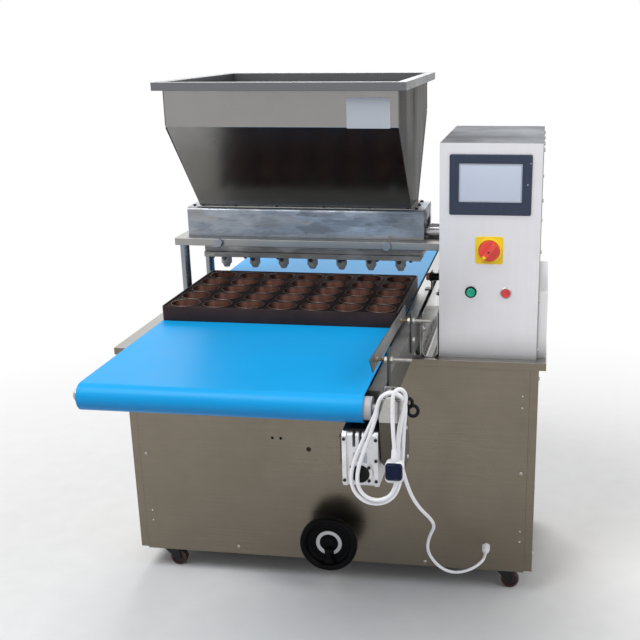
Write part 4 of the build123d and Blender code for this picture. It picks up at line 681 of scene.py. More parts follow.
def photo_camera():
    """The photograph's viewpoint, solved from the machine's corners."""
    ahead = Vector((math.sin(YAW) * math.cos(PITCH), math.cos(YAW) * math.cos(PITCH), -math.sin(PITCH)))
    level = ahead.cross(Vector((0, 0, 1))).normalized()
    upright = level.cross(ahead)
    right = math.cos(ROLL) * level + math.sin(ROLL) * upright
    up = math.cos(ROLL) * upright - math.sin(ROLL) * level
    camera = bpy.data.objects.new("camera", bpy.data.cameras.new("camera"))
    camera.data.sensor_width = SENSOR_WIDTH
    camera.data.lens = FOCAL_PIXELS / PHOTO_PIXELS * SENSOR_WIDTH
    camera.data.shift_x = -0.12
    camera.data.shift_y = 0.0415
    turn = Matrix((right, up, -ahead)).transposed().to_4x4()
    camera.matrix_world = Matrix.Translation(CAMERA_PLACE) @ turn
    SCENE.collection.objects.link(camera)
    SCENE.camera = camera


def lamp(name, place, target, size, power):
    """A round area lamp that faces its target; sizes in metres, power in watts."""
    light = bpy.data.lights.new(name, "AREA")
    light.shape = "DISK"
    light.size = size
    light.energy = power
    thing = bpy.data.objects.new(name, light)
    thing.location = place
    thing.rotation_euler = (Vector(target) - Vector(place)).to_track_quat("-Z", "Y").to_euler()
    SCENE.collection.objects.link(thing)


def seen_directly(graph):
    """1 for what the camera sees, straight or in metal and glass, and 0 for what only lights."""
    camera, glossy, through = (
        graph.node("ShaderNodeLightPath", output=f"Is {kind} Ray")
        for kind in ("Camera", "Glossy", "Transmission")
    )
    return graph.node("ShaderNodeMath", {0: camera + glossy + through, 1: 1.0}, operation="MINIMUM")


def studio():
    """A white studio: three lamps, a white world, and a floor that fades into it away from the machine."""
    SCENE.view_settings.view_transform = "Standard"
    world = bpy.data.worlds.new("studio")
    SCENE.world = world
    world.use_nodes = True
    graph = Graph(world.node_tree)
    ground = world.node_tree.nodes["Background"]
    ground.inputs["Color"].default_value = (1.0, 1.0, 1.0, 1.0)
    graph.feed(ground.inputs["Strength"], 0.44 + 0.56 * seen_directly(graph))
    lamp("key", (-1.6, -2.3, 4.6), (0, 0, 0.8), 2.6, 122.0)
    lamp("fill", (3.0, -1.8, 3.2), (0, 0, 0.8), 2.2, 42.0)
    lamp("back", (-0.6, 3.2, 3.6), (0, 0, 0.9), 2.4, 85.0)

    finish = Finish("studio_floor", roughness=0.85, specular_ior_level=0.2)
    fine = finish.noise(14.0, detail=4.0)
    finish.set("base_color", finish.blend(fine, (0.80, 0.80, 0.80), (0.83, 0.83, 0.83)))
    place = finish.position((0.4, 0.4, 0.0))
    away = finish.node("ShaderNodeVectorMath", {0: place}, "Value", operation="LENGTH")
    fade = finish.spread(away, 0.45, 1.0)
    glow = finish.node("ShaderNodeEmission", {"Strength": 1.0})
    mix = finish.node("ShaderNodeMixShader", {
        0: fade * seen_directly(finish), 1: Signal(finish, finish.shader.outputs[0]), 2: glow,
    })
    finish.feed(finish.tree.nodes["Material Output"].inputs["Surface"], mix)
    disc = Form().turned([(0, -6), (14000, -6), (14000, -1), (0, -1)], "z", (0, 0, 0), steps=64)
    floor = disc.mesh("floor")
    floor.materials.append(finish.material)
    thing = bpy.data.objects.new("floor", floor)
    SCENE.collection.objects.link(thing)


photo_camera()
studio()


# Power cord: one spline from the gland up to the guard's bolt, two turns over it, and down to the plug

CORD_ROUTE = [
    (441, -118, 145), (441, -143, 145), (433, -167, 142), (411, -186, 132), (378, -194, 122),
    (348, -199, 125), (322, -211, 146), (300, -232, 187), (297, -272, 239), (312, -335, 306),
    (331, -405, 368), (330, -480, 427), (316, -560, 490), (306, -632, 555), (302, -692, 618),
    (300, -738, 672), (294, -758, 728), (298, -757, 775),
]
FIRST_TURN = [
    (310, -754.6, 812), (305, -754.6, 828), (291, -754.6, 838), (275, -754.6, 838), (261, -754.6, 828),
    (256, -754.6, 812), (249, -755, 790), (232, -756, 752), (214, -757, 712), (202, -757, 678),
    (198, -757, 648), (205, -757, 620), (226, -757, 601), (253, -757, 597), (279, -757, 608),
    (296, -758, 634), (303, -760, 680), (306, -762, 730), (308, -763, 775),
]
SECOND_TURN = [
    (312, -762.5, 813), (307, -762.5, 829), (293, -762.5, 839), (275, -762.5, 839), (261, -762.5, 829),
    (256, -762.5, 813), (253, -763, 790), (241, -764, 752), (226, -764, 712), (215, -764, 678),
    (212, -764, 650), (218, -764, 627), (235, -764, 612), (257, -764, 609), (278, -764, 619),
    (290, -765, 640), (295, -765, 680), (297, -767, 727), (301, -769, 775),
]
PLUG_DROP = [
    (308, -771, 805), (313, -772, 828), (313, -773, 843), (308, -776, 852), (301, -779, 855),
    (294, -782, 852), (290, -784.5, 843), (289, -786, 828), (289, -787, 800), (289.5, -787, 775),
    (290.5, -786, 755), (291.5, -785, 740), (291.5, -785, 722),
]
CORD_RADIUS = 4
PLUG_X, PLUG_Y = 291.5, -785


def power_cord():
    curve = bpy.data.curves.new("power_cord", "CURVE")
    curve.dimensions = "3D"
    curve.bevel_depth = CORD_RADIUS * MM
    curve.bevel_resolution = 4
    curve.use_fill_caps = True
    curve.resolution_u = 8
    route = CORD_ROUTE + FIRST_TURN + SECOND_TURN + PLUG_DROP
    line = curve.splines.new("NURBS")
    line.points.add(len(route) - 1)
    for spot, place in zip(line.points, route):
        spot.co = (*(Vector(place) * MM), 1.0)
    line.order_u = 3
    line.use_endpoint_u = True
    curve.materials.append(FINISH["cord_white"])
    cord = bpy.data.objects.new("power_cord", curve)
    SCENE.collection.objects.link(cord)
    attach(cord, "cabinet")
    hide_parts("cord_tail", "cord_hank")
    return cord


def plug_pieces():
    """A flat plug: pale shell, navy front and the sleeve where the cord goes in at its top."""
    shell = Form().lofted([
        (33, 40, 8, -770), (36.4, 43.4, 9, -772), (37, 44, 9, -778), (37, 44, 9, -788),
        (35.6, 42.6, 9, -791.5),
    ], "y", (PLUG_X, 684))
    shell.turned([
        (0, 702), (7, 702), (6.6, 712), (5.6, 728), (5, 731), (0, 731)
    ], "z", (PLUG_X, PLUG_Y, 0), 24)
    front = Form().lofted([
        (34, 35, 7, -789), (34, 35, 7, -795.4), (33.2, 34.2, 7, -797.6), (31, 32, 7, -799.2),
        (27.6, 28.6, 6, -800), (26, 27, 5, -799.2),
    ], "y", (PLUG_X, 687.6))
    front.turned([(0, -800), (2.4, -800), (2.4, -797), (0, -797)], "y", (PLUG_X, 0, 687), 20)
    return [
        shell.piece("plug_shell", "cabinet", "cord_white"),
        front.piece("plug_front", "cabinet", "plug_navy", replaces=["plug"]),
    ]


CORD = power_cord()
plug_pieces()


# Small fasteners, each standing on the origin and facing +Z

def ring_at(radius, height, hexagon=False):
    """Twelve points round the axis; a hexagon has its corners at the radius."""
    points = []
    for i in range(12):
        angle = 2 * math.pi * (i - 0.5) / 12
        reach = radius * math.cos(math.pi / 6) if hexagon and i % 2 == 0 else radius
        points.append((reach * math.cos(angle), reach * math.sin(angle), height))
    return points


def screw_head(name, radius, height, rings, *more):
    """A head from rings of (share of the radius, share of the height, hexagon or not), and more rings."""
    rings = [ring_at(wide * radius, high * height, *kind) for wide, high, *kind in rings]
    return Form().skin([*rings, *more]).mesh(name)


def cross_screw(radius, height):
    """A pan head with a cross recess."""
    arm, half = 0.55 * radius, 0.14 * radius

    def cross(z):
        return [
            (a * c - b * s, a * s + b * c, z) for c, s in ((1, 0), (0, 1), (-1, 0), (0, -1))
            for a, b in ((arm, -half), (arm, half), (half, half))
        ]

    rings = ((1, 0), (1, 0.4), (0.9, 0.8), (0.7, 1))
    return screw_head("cross_screw", radius, height, rings, cross(height), cross(0.35 * height))


def hex_bolt(radius, height, washer=1.45):
    """A hexagon head on a washer that is wider by that share."""
    rings = ((washer, 0), (washer, 0.22), (1, 0.22, True), (1, 0.85, True), (0.84, 1))
    return screw_head("hex_bolt", radius, height, rings)


def socket_screw(radius, height):
    """A cylinder head with a hexagon socket."""
    rings = ((1, 0), (1, 0.86), (0.9, 1), (0.55, 1, True), (0.55, 0.4, True))
    return screw_head("socket_screw", radius, height, rings)


def rivet(radius, height):
    return screw_head("rivet", radius, height, ((1, 0), (0.86, 0.5), (0.5, 0.9)), [(0, 0, height)])


# CAD nodes with rounded edges, and the finishes of their faces

HOPPER_X, HOPPER_Y, RIM_Z = -77, 135, 1376
CONE_HEIGHT, CONE_SHORTER = 16, 5
CONE_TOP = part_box("nozzles")[0][2] / MM + CONE_HEIGHT
BRACKET_X = sum(corner[0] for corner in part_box("guide_brackets")) / 2 / MM
BRACKET_HALF = 2.1
GEARBOX_FACE = -742


def shorter_cone(p):
    """A corner of the nozzles, with the tops of their cones lowered."""
    return p.x, p.y, p.z - CONE_SHORTER if abs(p.z - CONE_TOP) < 1 else p.z


def hopper_sheet(c, n):
    """0 for the front and back, 1 for the rim and inside in a darker copy of the steel that is painted
    shade, 2 for the sides with painted reflection streaks.
    """
    inside = n.x * (c.x - HOPPER_X) + n.y * (c.y - HOPPER_Y) < -1
    return 1 if c.z > RIM_Z or inside else 2 * (abs(n.x) > 0.8)


# node, rounding, finishes, pick, segments, reshape
for row in (
    ("front_panel", 0.6), ("left_panel", 0.8), ("right_panel", 0.8), ("back_panel", 0.5),
    ("side_duct", 0.8), ("hmi_bezel", 0.6), ("switch_plate", 1.2),
    ("switch_knob", 1.6, None, None, 3), ("manifold", 1.5, None, None, 3),
    ("control_side_cover", 0.5, ["side_steel"]), ("support_trough", 0.7, ["bright_steel"]),
    ("head_frame", 1.2, ["ground_steel"]), ("nozzle_bar", 1.0, ["bar_steel"]),
    ("posts", 0.6, ["post_chrome"]), ("frame_knobs", 1.8, ["knob_steel"], None, 3),
    # The nozzles' near-white coat is partly their light grey and partly painted light.
    ("nozzles", 0.8, ["nozzle_steel"], None, 2, shorter_cone),
    ("hopper", 0.9, ["hopper_steel", "rim_steel", "hopper_side"], hopper_sheet),
    # Painted light: the deck's top faces take a lighter copy of its steel.
    ("deck", 0.9, ["panel_steel", "deck_steel"], lambda c, n: n.z > 0.9),
    # Painted shade: the box's top faces take a darker finish than its front and sides.
    ("control_box", 1.6, ["box_paint", "box_top"], lambda c, n: n.z > 0.9 and c.z > 1240),
    # Painted shade: the frame's right-facing outer faces take a darker copy of its steel.
    ("conveyor_frame", 1.6, ["ground_steel", "web_steel"], lambda c, n: n.x > 0.9 and c.x > 250),
    ("guide_rail", 0.5, ["ground_steel", "rod_thread"], lambda c, n: c.x > 236),
    # Painted shade: the flat bars of the brackets take a near-black copy of the steel; the nuts stay zinc.
    (
        "guide_brackets", 0.5, ["zinc_steel", "bracket_steel"],
        lambda c, n: abs(c.x - BRACKET_X) < BRACKET_HALF,
    ),
    ("drive_roller", 1.2, ["machined_steel", "pale_cap"], lambda c, n: 221.5 < c.x < 239.5),
    ("gearbox", 1.6, ["cast_grey", "black_plastic"], lambda c, n: c.y < GEARBOX_FACE - 0.2),
    ("wheel_shaft", 0.6, ["machined_steel", "silver_ring"], lambda c, n: c.y < -149),
    ("lead_screw", 0.4, ["machined_steel", "screw_thread"], lambda c, n: c.z > 215),
):
    softened(*row)


# Cabinet

CABINET_FRONT, CABINET_BACK, CABINET_SIDE = -86, 414, 568
BOX_MIDDLE, BOX_BACK, BOX_SIDE = 432, 409, 561
LOUVRE_PITCH = 20


def louvre_hood():
    """A pressed hood that tapers off at both ends."""
    outline = (
        (6.5, 0), (5.6, 3.2), (3, 5.6), (-1, 6.6), (-3, 6.4), (-3, 5.6), (-0.6, 5.6), (2.4, 4.6), (4.4, 2.6),
        (5.2, 0),
    )
    return Form().skin([
        [(x, -up * (0.5 + 0.5 * share), out * share) for up, out in outline]
        for x, share in ((-76, 0.06), (-73, 0.6), (-66, 1), (66, 1), (73, 0.6), (76, 0.06))
    ]).mesh("louvre_hood")


def cabinet_fittings():
    """Screws, rivets and louvre hoods of the cabinet and the control box."""
    copies(
        "panel_screws", cross_screw(5.0, 3.2),
        [((x, CABINET_FRONT, z), "-y") for x, z in ((-528, 373), (-272, 95), (530, 372), (270, 86))]
        + [((x, CABINET_BACK, z), "+y") for x in (-520, 0, 520) for z in (100, 640)]
        + [
            ((x, y, z), facing) for x, facing in ((-CABINET_SIDE, "-x"), (CABINET_SIDE, "+x"))
            for y in (-50, 378) for z in (112, 632)
        ]
        + [((BOX_SIDE, y, z), "+x") for y in (-58, 393) for z in (715, 845, 975, 1105, 1230)]
        + [((BOX_SIDE, y, 1230), "+x") for y in (92, 243)],
        spin=ANY_TURN,
    )
    copies("panel_rivets", rivet(2.6, 1.2), [
        ((x, CABINET_FRONT, z), "-y")
        for x, z in ((-525, 194), (-525, 163), (532, 197), (532, 165), (528, 593), (528, 560))
    ])
    hood = louvre_hood()
    copies("cabinet_louvres", hood, [
        ((x, CABINET_BACK, 322 + LOUVRE_PITCH * i), "+y") for x in (-273, 273) for i in range(6)
    ], slot="panel_steel")
    copies("box_louvres", hood, [
        ((BOX_MIDDLE, BOX_BACK, 1108 + LOUVRE_PITCH * i), "+y") for i in range(6)
    ], slot="box_paint")


# Control box

SCREEN_Z, SWITCH_Z, BUTTON_Z = 1150.5, 980, 870
PANEL_FACE = -83.5
MARK_TURN = math.radians(50)


def control_station():
    """The rings round the screen, the main switch and the two push buttons."""
    for name, finish, wide, tall, inner_wide, inner_tall, front in (
        ("screen_mask", "slate_plastic", 170, 101, 156, 95, -84.3),
        ("screen_line", "screen_line", 156, 95, 151, 90, -84.6),
    ):
        Form().lofted([
            (wide, tall, 2, PANEL_FACE), (wide, tall, 2, front), (inner_wide, inner_tall, 2, front),
            (inner_wide - 1, inner_tall - 1, 2, PANEL_FACE),
        ], "y", (BOX_MIDDLE, SCREEN_Z), 4, loop=True).piece(name, "cabinet", "slate_plastic", [finish])
    lamps = [((530, -84, 1199), "-y"), ((524, -84, 1147), "-y")]
    copies("panel_lamps", rivet(1.6, 0.6), lamps, slot="slate_plastic", finish="pale_cap")
    Form().turned([
        (26.6, -80), (31.4, -80), (31.4, -84.5), (30.6, -85.6), (28.4, -86), (27, -85.4), (26.6, -84.4)
    ], "y", (BOX_MIDDLE, 0, SWITCH_Z), 64, loop=True).piece("switch_collar", "cabinet", "switch_yellow")
    c, s = math.cos(MARK_TURN), math.sin(MARK_TURN)
    Form().prism([
        (BOX_MIDDLE + a * c - b * s, SWITCH_Z + a * s + b * c)
        for a, b in ((-22, -4), (-14, -4), (-14, 4), (-22, 4))
    ], "y", -105.9, -105.1).piece("switch_mark", "switch_knob", "switch_yellow", rounding=0.2)
    copies(
        "switch_screw", cross_screw(2.4, 0.9), [((BOX_MIDDLE, -105.2, SWITCH_Z), "-y")],
        "switch_knob", "black_plastic", "dark_screw",
    )
    for name, x, slot, finish in (
        ("green", 387, "black_plastic", "black_plastic"), ("red", 477, "bright_steel", "silver_ring")
    ):
        Form().turned([
            (11.3, -76), (15, -76), (15, -79.4), (14.2, -80.6), (13, -81), (12, -81), (11.3, -80.2)
        ], "y", (x, 0, BUTTON_Z), loop=True).piece(
            f"{name}_bezel", "cabinet", slot, [finish], ["button_bezels"]
        )
        Form().turned([
            (0, -80.3), (11, -80.3), (11, -84.4), (10.5, -85.4), (9.4, -85.9), (8.2, -85.5), (7.4, -85.2),
            (0, -85.0),
        ], "y", (x, 0, BUTTON_Z)).piece(
            f"{name}_cap", f"{name}_button", f"button_{name}", replaces=[f"{name}_button"]
        )


# Conveyor, its drive and sensor

ROLLER_FRONT, ROLLER_REAR, ROLLER_Z = -720, 750, 790
BELT_LEFT, BELT_RIGHT = -377, 223
BELT_OUTSIDE, BELT_INSIDE, BELT_EDGE = 30, 27.3, 0.6
CONVEYOR_LEFT, CONVEYOR_RIGHT = -385, 256
GUARD_SIDE = 304
GUARD_MIDDLE = (-703, 738)
GUARD_PROFILE = [
    (-708, 819), (-739, 817), (-749.5, 772), (-727, 676), (-706, 660), (-674, 660), (-657, 680), (-656, 700),
    (-670, 740),
]
HANK_BOLT_X, HANK_BOLT_Z = 283, 826
HOOK_Y = -732
MOTOR_AXIS = (215, 655.5)
FAN_COVER_END = -466
TERMINAL_LID = 150
SENSOR_AXIS = (145, 855)


def belt_loop():
    """The belt's thin loop round its two rollers, with rounded edges."""
    def loop(radius):
        points = []
        for centre, start in ((ROLLER_FRONT, 90), (ROLLER_REAR, 270)):
            for i in range(33):
                angle = math.radians(start + 180 * i / 32)
                points.append((centre + radius * math.cos(angle), ROLLER_Z + radius * math.sin(angle)))
        return points

    left, right = BELT_LEFT + BELT_EDGE, BELT_RIGHT - BELT_EDGE
    outer, inner = BELT_OUTSIDE - BELT_EDGE, BELT_INSIDE + BELT_EDGE
    Form().skin([
        [(x, y, z) for y, z in loop(radius)]
        for x, radius in (
            (left, BELT_OUTSIDE), (right, BELT_OUTSIDE), (BELT_RIGHT, outer), (BELT_RIGHT, inner),
            (right, BELT_INSIDE), (left, BELT_INSIDE), (BELT_LEFT, inner), (BELT_LEFT, outer),
        )
    ], loop=True).piece("belt", "cabinet", "belt_blue", replaces=["conveyor_belt"])


def guard_cover():
    """The guard, folded in flat faces round both pulleys and open to the conveyor, with its lug and bolt."""
    y_middle, z_middle = GUARD_MIDDLE
    inner = [(y + 0.05 * (y_middle - y), z + 0.05 * (z_middle - z)) for y, z in GUARD_PROFILE]
    form = Form().skin([
        [(x, y, z) for y, z in ring]
        for ring, x in (
            (inner, GUARD_SIDE - 2), (inner, CONVEYOR_RIGHT), (GUARD_PROFILE, CONVEYOR_RIGHT),
            (GUARD_PROFILE, GUARD_SIDE),
        )
    ])
    bmesh.ops.recalc_face_normals(form.shape, faces=form.shape.faces)
    # Painted reflection: the side and lower faces of the one sheet take a darker copy of its steel.
    for face in form.shape.faces:
        face.material_index = face.normal.x > 0.5 or face.normal.z < -0.05
    form.block(265, 301, -734, -730, 815, 842)
    form.finish = 2
    form.turned([(0, -775), (8, -775), (8, -730), (0, -730)], "y", (HANK_BOLT_X, 0, HANK_BOLT_Z), 32)
    form.skin([
        [(HANK_BOLT_X + a, y, HANK_BOLT_Z + b) for a, b, _ in ring_at(12, 0, True)] for y in (-774, -780)
    ])
    finishes = ["bright_steel", "guard_side", "zinc_steel"]
    form.piece("guard", "cabinet", SLOT_OF["drive_guard"], finishes, ["drive_guard"], rounding=1.0)


def guard_hook():
    """A short chain of two links on a bent wire, beside the guard's lug."""
    hook = Form().tube([(300, HOOK_Y, 833), (305, HOOK_Y, 831), (309, HOOK_Y, 826), (311, HOOK_Y, 820)], 3.2)
    for x, z, wide, tall, lean in ((314.5, 810, 6, 10, -3), (322, 793, 10, 10, 3)):
        link = [(x + wide * c, HOOK_Y + lean * s, z + tall * s) for c, s in circle(24, 1)]
        hook.tube(link, 3.6, loop=True)
    hook.piece("guard_hook", "cabinet", "black_plastic")


def ribbed_motor():
    """The motor behind the gearbox: flange, ribbed case, fan cover and a low terminal box with its lid."""
    x, z = MOTOR_AXIS
    ribs, root, crest, half = 12, 50.0, 54.0, 1.5
    outline = []
    for i in range(ribs):
        middle = 2 * math.pi * i / ribs
        spots = [(root, -half / root), (crest, -half / crest), (crest, half / crest), (root, half / root)]
        spots += [(root, math.pi / ribs * share) for share in (0.7, 1.0, 1.3)]
        outline += [(x + r * math.cos(middle + turn), z + r * math.sin(middle + turn)) for r, turn in spots]
    motor = Form().prism(outline, "y", -634, -510)
    for profile in (
        ((0, -642), (52.6, -642), (crest, -640.6), (crest, -633.4), (52.6, -632), (0, -632)),
        (
            (0, -512), (crest, -512), (crest, -474), (52.8, -469.8), (49.6, -467), (45.6, FAN_COVER_END),
            (0, FAN_COVER_END),
        ),
    ):
        motor.turned(profile, "y", (x, 0, z), 64)
    motor.block(TERMINAL_LID + 2.6, 172, -627, -553, 622.5, 688.5)
    motor.block(TERMINAL_LID, TERMINAL_LID + 3.4, -628, -552, 621.5, 689.5)
    slot = SLOT_OF["gear_motor"]
    motor.piece("motor_case", "cabinet", slot, ["motor_paint"], ["gear_motor"], rounding=0.8)


def sensor_on_plate():
    """The tray sensor: an orange eye and a pale ring on a black barrel, held by two nuts in a bent plate."""
    y, z = SENSOR_AXIS
    finishes = ["black_plastic", "sensor_orange", "dark_screw", "pale_cap"]
    sensor = Form().turned([
        (0, 255.2), (10.6, 255.2), (10.6, 299), (9.8, 302), (7.6, 303), (0, 303)
    ], "x", (0, y, z), 32)
    for x0, x1 in ((256.5, 260.4), (263.6, 267.5)):
        sensor.prism(circle(6, 13.5, SENSOR_AXIS), "x", x0, x1)
    for finish, profile in (
        ("sensor_orange", [(0, 247), (9.8, 247), (11, 248.2), (11, 253.4), (0, 253.4)]),
        ("pale_cap", [(0, 253.2), (10.4, 253.2), (10.4, 255.4), (0, 255.4)]),
    ):
        sensor.finish = finishes.index(finish)
        sensor.turned(profile, "x", (0, y, z), 32)
    sensor.finish = finishes.index("dark_screw")
    sensor.block(260.5, 263.5, y - 13, y + 13, 818, 872)
    sensor.block(243.5, 261, y - 13, y + 13, 818, 821)
    sensor.piece("sensor", "cabinet", SLOT_OF["tray_sensor"], finishes, ["tray_sensor"], rounding=0.4)


def conveyor_fittings():
    """Bolts, nuts, screws, the bare label and the dark plate on top of the gearbox."""
    copies("trough_bolts", hex_bolt(5.6, 5.0, 1.25), [
        ((x, y, 766), facing) for y in (-70, 300) for x, facing in ((262, "-x"), (264, "+x"))
    ], spin=SOME_TURN)
    copies("frame_bolts", hex_bolt(6.5, 5.0), [
        ((x, y + d, z), facing) for y in (-62, 330) for d in (-11, 11)
        for x, z, facing in ((-389, 786, "-x"), (260, 770, "+x"), (-367, 696, "+z"), (238, 696, "+z"))
    ], spin=SOME_TURN)
    copies("guard_screws", cross_screw(4.5, 2.8), [
        ((GUARD_SIDE, y, z), "+x") for y, z in ((-722, 798), (-704, 745), (-690, 676))
    ], spin=ANY_TURN)
    left, right = (CONVEYOR_LEFT, "-x"), (CONVEYOR_RIGHT, "+x")
    for body, y, sides in (
        ("drive_roller", ROLLER_FRONT, [left]), ("idler_roller", ROLLER_REAR, [left, right])
    ):
        places = [((x, y, ROLLER_Z), facing) for x, facing in sides]
        copies(f"{body}_nuts", hex_bolt(11.0, 7.0, 1.3), places, body)
    terminal = [((TERMINAL_LID, y, z), "-x") for y in (-621, -559) for z in (628, 683)]
    fan = [
        ((x, FAN_COVER_END, z), "+y") for radius, count in ((12, 8), (21, 14), (30, 20), (39, 26))
        for x, z in circle(count, radius, MOTOR_AXIS)
    ]
    gearbox = [((x, GEARBOX_FACE, z), "-y") for x, z in (
        (182.5, 640), (182.5, 730), (247.5, 640), (247.5, 730), (247.5, 685), (233, 670), (197, 641),
        (233, 641), (197, 670),
    )]
    for name, shape, places in (
        ("terminal_screws", socket_screw(2.6, 2.0), terminal), ("fan_cover_holes", rivet(2.6, 0.4), fan),
        ("gearbox_screws", socket_screw(3.4, 2.6), gearbox),
    ):
        copies(name, shape, places, slot="cast_grey", finish="dark_screw")
    label = Form().prism(round_rectangle(29, 22, 1.5, 4, (214, 689)), "y", -737.5, -736.9)
    label.piece("gearbox_label", "cabinet", "cast_grey", ["bare_label"])
    plate = Form().block(180, 251, -736, -650, 745.6, 750.6)
    plate.piece("gearbox_plate", "cabinet", "black_plastic", rounding=1.0)


# Baking tray: a frame with seven strips of cups

TRAY_CENTRE = (-77, -57)
TRAY_WIDTH, TRAY_DEPTH, TRAY_CORNER = 600, 400, 9
COLUMNS, COLUMN_PITCH, FIRST_COLUMN = 7, 84, -329
ROWS, ROW_PITCH, FIRST_ROW = 5, 77, -211
STRIP_FRONT, STRIP_BACK, STRIP_HALF = -252.8, 138.8, 41.5
PLATE_TOP, PLATE_UNDER = 855.8, 854.4


def cup_strip():
    """One column of tapered cups in a plate, round x = 0."""
    form = Form()
    turns = circle(32, 1)
    for row in range(ROWS):
        middle = FIRST_ROW + ROW_PITCH * row
        low = STRIP_FRONT if row == 0 else middle - ROW_PITCH / 2
        high = STRIP_BACK if row == ROWS - 1 else middle + ROW_PITCH / 2
        edge = []
        for c, s in turns:
            reach = high - middle if s > 0 else middle - low
            t = min(size / abs(part) for size, part in ((STRIP_HALF, c), (reach, s)) if abs(part) > 1e-9)
            edge.append((c * t, middle + s * t))
        for x in (STRIP_HALF, -STRIP_HALF):
            for y in (high, low):
                nearest = min(edge, key=lambda spot: (spot[0] - x) ** 2 + (spot[1] - y) ** 2)
                edge[edge.index(nearest)] = (x, y)

        def ring(radius, z):
            return [(radius * c, middle + radius * s, z) for c, s in turns]

        upper = [(x, y, PLATE_TOP) for x, y in edge]
        lower = [(x, y, PLATE_UNDER) for x, y in edge]
        for start, wall, bottom in (
            (upper, (
                (37.2, PLATE_TOP), (36.4, 856.5), (35.6, 856.3), (35, 855.2), (30.6, 827), (29.6, 824.6),
                (27.6, 823.6),
            ), 823.3),
            (lower, (
                (36.4, PLATE_UNDER), (36.2, 854), (31.9, 826.6), (29.8, 823), (27.6, 822.4),
            ), 822.2),
        ):
            form.skin([start, *(ring(*spot) for spot in wall), [(0, middle, bottom)]], ends=False)
        for i, (xa, ya) in enumerate(edge):
            j = (i + 1) % len(edge)
            xb, yb = edge[j]
            side = abs(abs(xa) - STRIP_HALF) < 1e-6 and abs(abs(xb) - STRIP_HALF) < 1e-6 and xa * xb > 0
            front = row == 0 and ya == yb == low
            back = row == ROWS - 1 and ya == yb == high
            if side or front or back:
                form.skin([[upper[i], upper[j], lower[j], lower[i]]])
    return form.mesh("cup_strip")


def baking_tray():
    """The rolled frame and the strips of cups in it."""
    rim = (
        (0, 820.4), (0, 856), (0.7, 857.5), (2, 858), (3.3, 857.5), (4, 856.2), (4, 851), (2.2, 851),
        (2.2, 820.4),
    )
    Form().lofted([
        (TRAY_WIDTH - 2 * inset, TRAY_DEPTH - 2 * inset, TRAY_CORNER - inset, z) for inset, z in rim
    ], "z", TRAY_CENTRE, loop=True).piece("tray_frame", "tray", "tray_bronze", replaces=["tray"])
    strips = [((FIRST_COLUMN + COLUMN_PITCH * i, 0, 0), "+z") for i in range(COLUMNS)]
    copies("tray_cups", cup_strip(), strips, "tray", "tray_bronze", "cup_coat")


# Head and hopper

def head_fittings():
    """Weld seams and bare label of the hopper, screws and bolts of the head."""
    welds = Form()
    for x in (-368.5, 214.5):
        for outer, neck in ((-156, 60), (426, 210)):
            welds.tube([(x, outer, RIM_Z), (x, outer, 1292)], 1.2, 8)
            welds.tube([(x, outer, 1288), (x, neck, 1060)], 1.2, 8)
    welds.piece("hopper_welds", "head", "bright_steel", ["rim_steel"])
    label = Form().prism(round_rectangle(106, 73, 1.2, 3, (141, 1324.5)), "y", -156.5, -155.9)
    label.piece("hopper_label", "head", "bright_steel", ["bare_label"])
    top = [((x, y, 1059), "+z") for y in (56.6, 213.4) for x in (-360, -268, -152, -22, 103, 206)]
    top += [((x, y, 1056), "+z") for x in (228, -391) for y in (75, 135, 197)]
    nozzles = [((FIRST_COLUMN - 2 + COLUMN_PITCH * i, 120.4, 899), "-y") for i in range(COLUMNS)]
    ends = [((x, y, 945), facing) for x, facing in ((240, "+x"), (-368, "-x")) for y in (95, 175)]
    below = [((-345 + 93 * i, y, 916), "-z") for i in range(7) for y in (66, 204)]
    for name, shape, places, finish, spin in (
        ("head_screws", socket_screw(4.2, 4.4), top, "dark_screw", 0.0),
        ("nozzle_bolts", hex_bolt(5.2, 5.2, 1.25), nozzles, "nozzle_bolt", SOME_TURN),
        ("bar_end_bolts", hex_bolt(7.5, 7.0, 1.2), ends, "dark_screw", SOME_TURN),
        ("bar_bolts", hex_bolt(4.6, 4.2, 1.2), below, "dark_screw", SOME_TURN),
    ):
        copies(name, shape, places, "head", "black_plastic", finish, spin)
    copies("bush_screws", socket_screw(3.6, 4.0), [
        ((-414 + a, y + b, 700), "+z") for y in (35, 235) for a in (-20, 20) for b in (-20, 20)
    ])


# Handwheel, gland and casters

WHEEL_X, WHEEL_Z = 10, 162
PIVOT_Y, PIVOT_Z = -160, 112
GLAND_X, GLAND_Z = 441, 145
CASTER_Z = 25


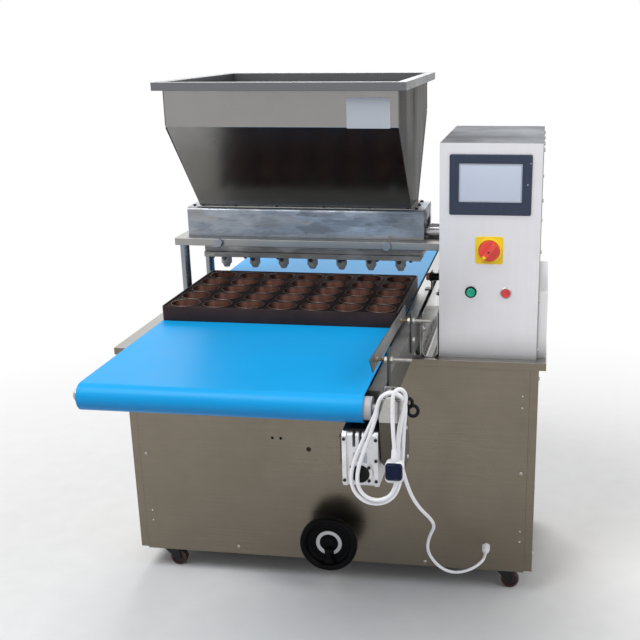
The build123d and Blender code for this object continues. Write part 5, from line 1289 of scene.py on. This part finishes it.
def wheel_and_handle():
    """The dished handwheel with its hub, and the handle that folds into it."""
    wheel = Form().turned([
        (10, -104), (18, -104), (19, -105), (19, -140.5), (22, -142), (75, -142), (78.6, -144.2),
        (80, -148.5), (80, -161), (78.8, -165.2), (75.6, -167.6), (72, -168), (67, -167.4), (63.6, -165),
        (62.2, -161), (61.4, -153.6), (58, -150.4), (54, -150), (10, -150),
    ], "y", (WHEEL_X, 0, WHEEL_Z), 96, loop=True)
    for x0, x1 in ((-3.3, 0.7), (19.3, 23.3)):
        wheel.block(x0, x1, -164, -149.8, 104, 120)
    wheel.piece("wheel_body", "handwheel", "black_plastic", ["wheel_black"], ["handwheel"], rounding=0.6)
    hub = Form().turned([
        (0, -149.9), (15, -149.9), (15, -152.4), (12.5, -154.4), (8, -155.4), (0, -155.8)
    ], "y", (WHEEL_X, 0, WHEEL_Z))
    hub.piece("wheel_hub", "handwheel", "black_plastic", ["wheel_black"])
    handle = Form().lofted([
        (15, 15, 4, 112), (16.6, 16.6, 5, 121), (18, 18, 6, 133), (18, 18, 6, 142), (17.4, 17.4, 6, 146),
        (15.6, 15.6, 6, 148.8), (12, 12, 5, 150),
    ], "z", (WHEEL_X, PIVOT_Y), 5)
    handle.turned([(0, 1), (8, 1), (9, 2), (9, 18), (8, 19), (0, 19)], "x", (0, PIVOT_Y, PIVOT_Z))
    handle.turned([
        (0, -3.3), (2.4, -3.3), (3, -2.7), (3, 22.7), (2.4, 23.3), (0, 23.3)
    ], "x", (0, PIVOT_Y, PIVOT_Z), 24)
    handle.piece("handle_grip", "wheel_handle", "black_plastic", ["wheel_black"], ["wheel_handle"])


def cord_gland():
    gland = Form().skin([
        [(GLAND_X + b, y, GLAND_Z + a) for a, b in circle(6, radius)]
        for radius, y in ((12, CABINET_FRONT), (12, -96.6), (11.2, -98))
    ])
    gland.turned([
        (0, -97.5), (9.5, -97.5), (9.5, -108), (8.8, -111), (7.4, -113.5), (6.2, -115), (5.6, -118),
        (0, -118),
    ], "y", (GLAND_X, 0, GLAND_Z), 32)
    gland.piece("gland", "cabinet", "cord_white", replaces=["cable_gland"])


def casters():
    """Dark forks, and tyres with a raised hub."""
    half = [(4.2, 11), (8.6, 11), (9.2, 9), (16.6, 8.4), (17.4, 11), (21.6, 11), (24, 9.4), (25, 6)]
    profile = [(radius, -out) for radius, out in half] + half[::-1]
    for corner, x, y, axis in (
        ("front_left", -472, -40, "y"), ("front_right", 508, -40, "y"),
        ("rear_left", -490, 386, "x"), ("rear_right", 490, 386, "x"),
    ):
        softened(f"caster_fork_{corner}", 0.5, ["dark_screw"])
        wheel = f"caster_wheel_{corner}"
        tyre = Form().turned(profile, axis, (x, y, CASTER_Z), loop=True)
        tyre.piece(f"tyre_{corner}", wheel, "caster_rubber", replaces=[wheel])


cabinet_fittings()
control_station()
belt_loop()
guard_cover()
guard_hook()
ribbed_motor()
sensor_on_plate()
conveyor_fittings()
baking_tray()
head_fittings()
wheel_and_handle()
cord_gland()
casters()

for node, thing in NODES.items():
    for holder in thing.material_slots:
        holder.material = FINISH[SLOT_OF[node]]
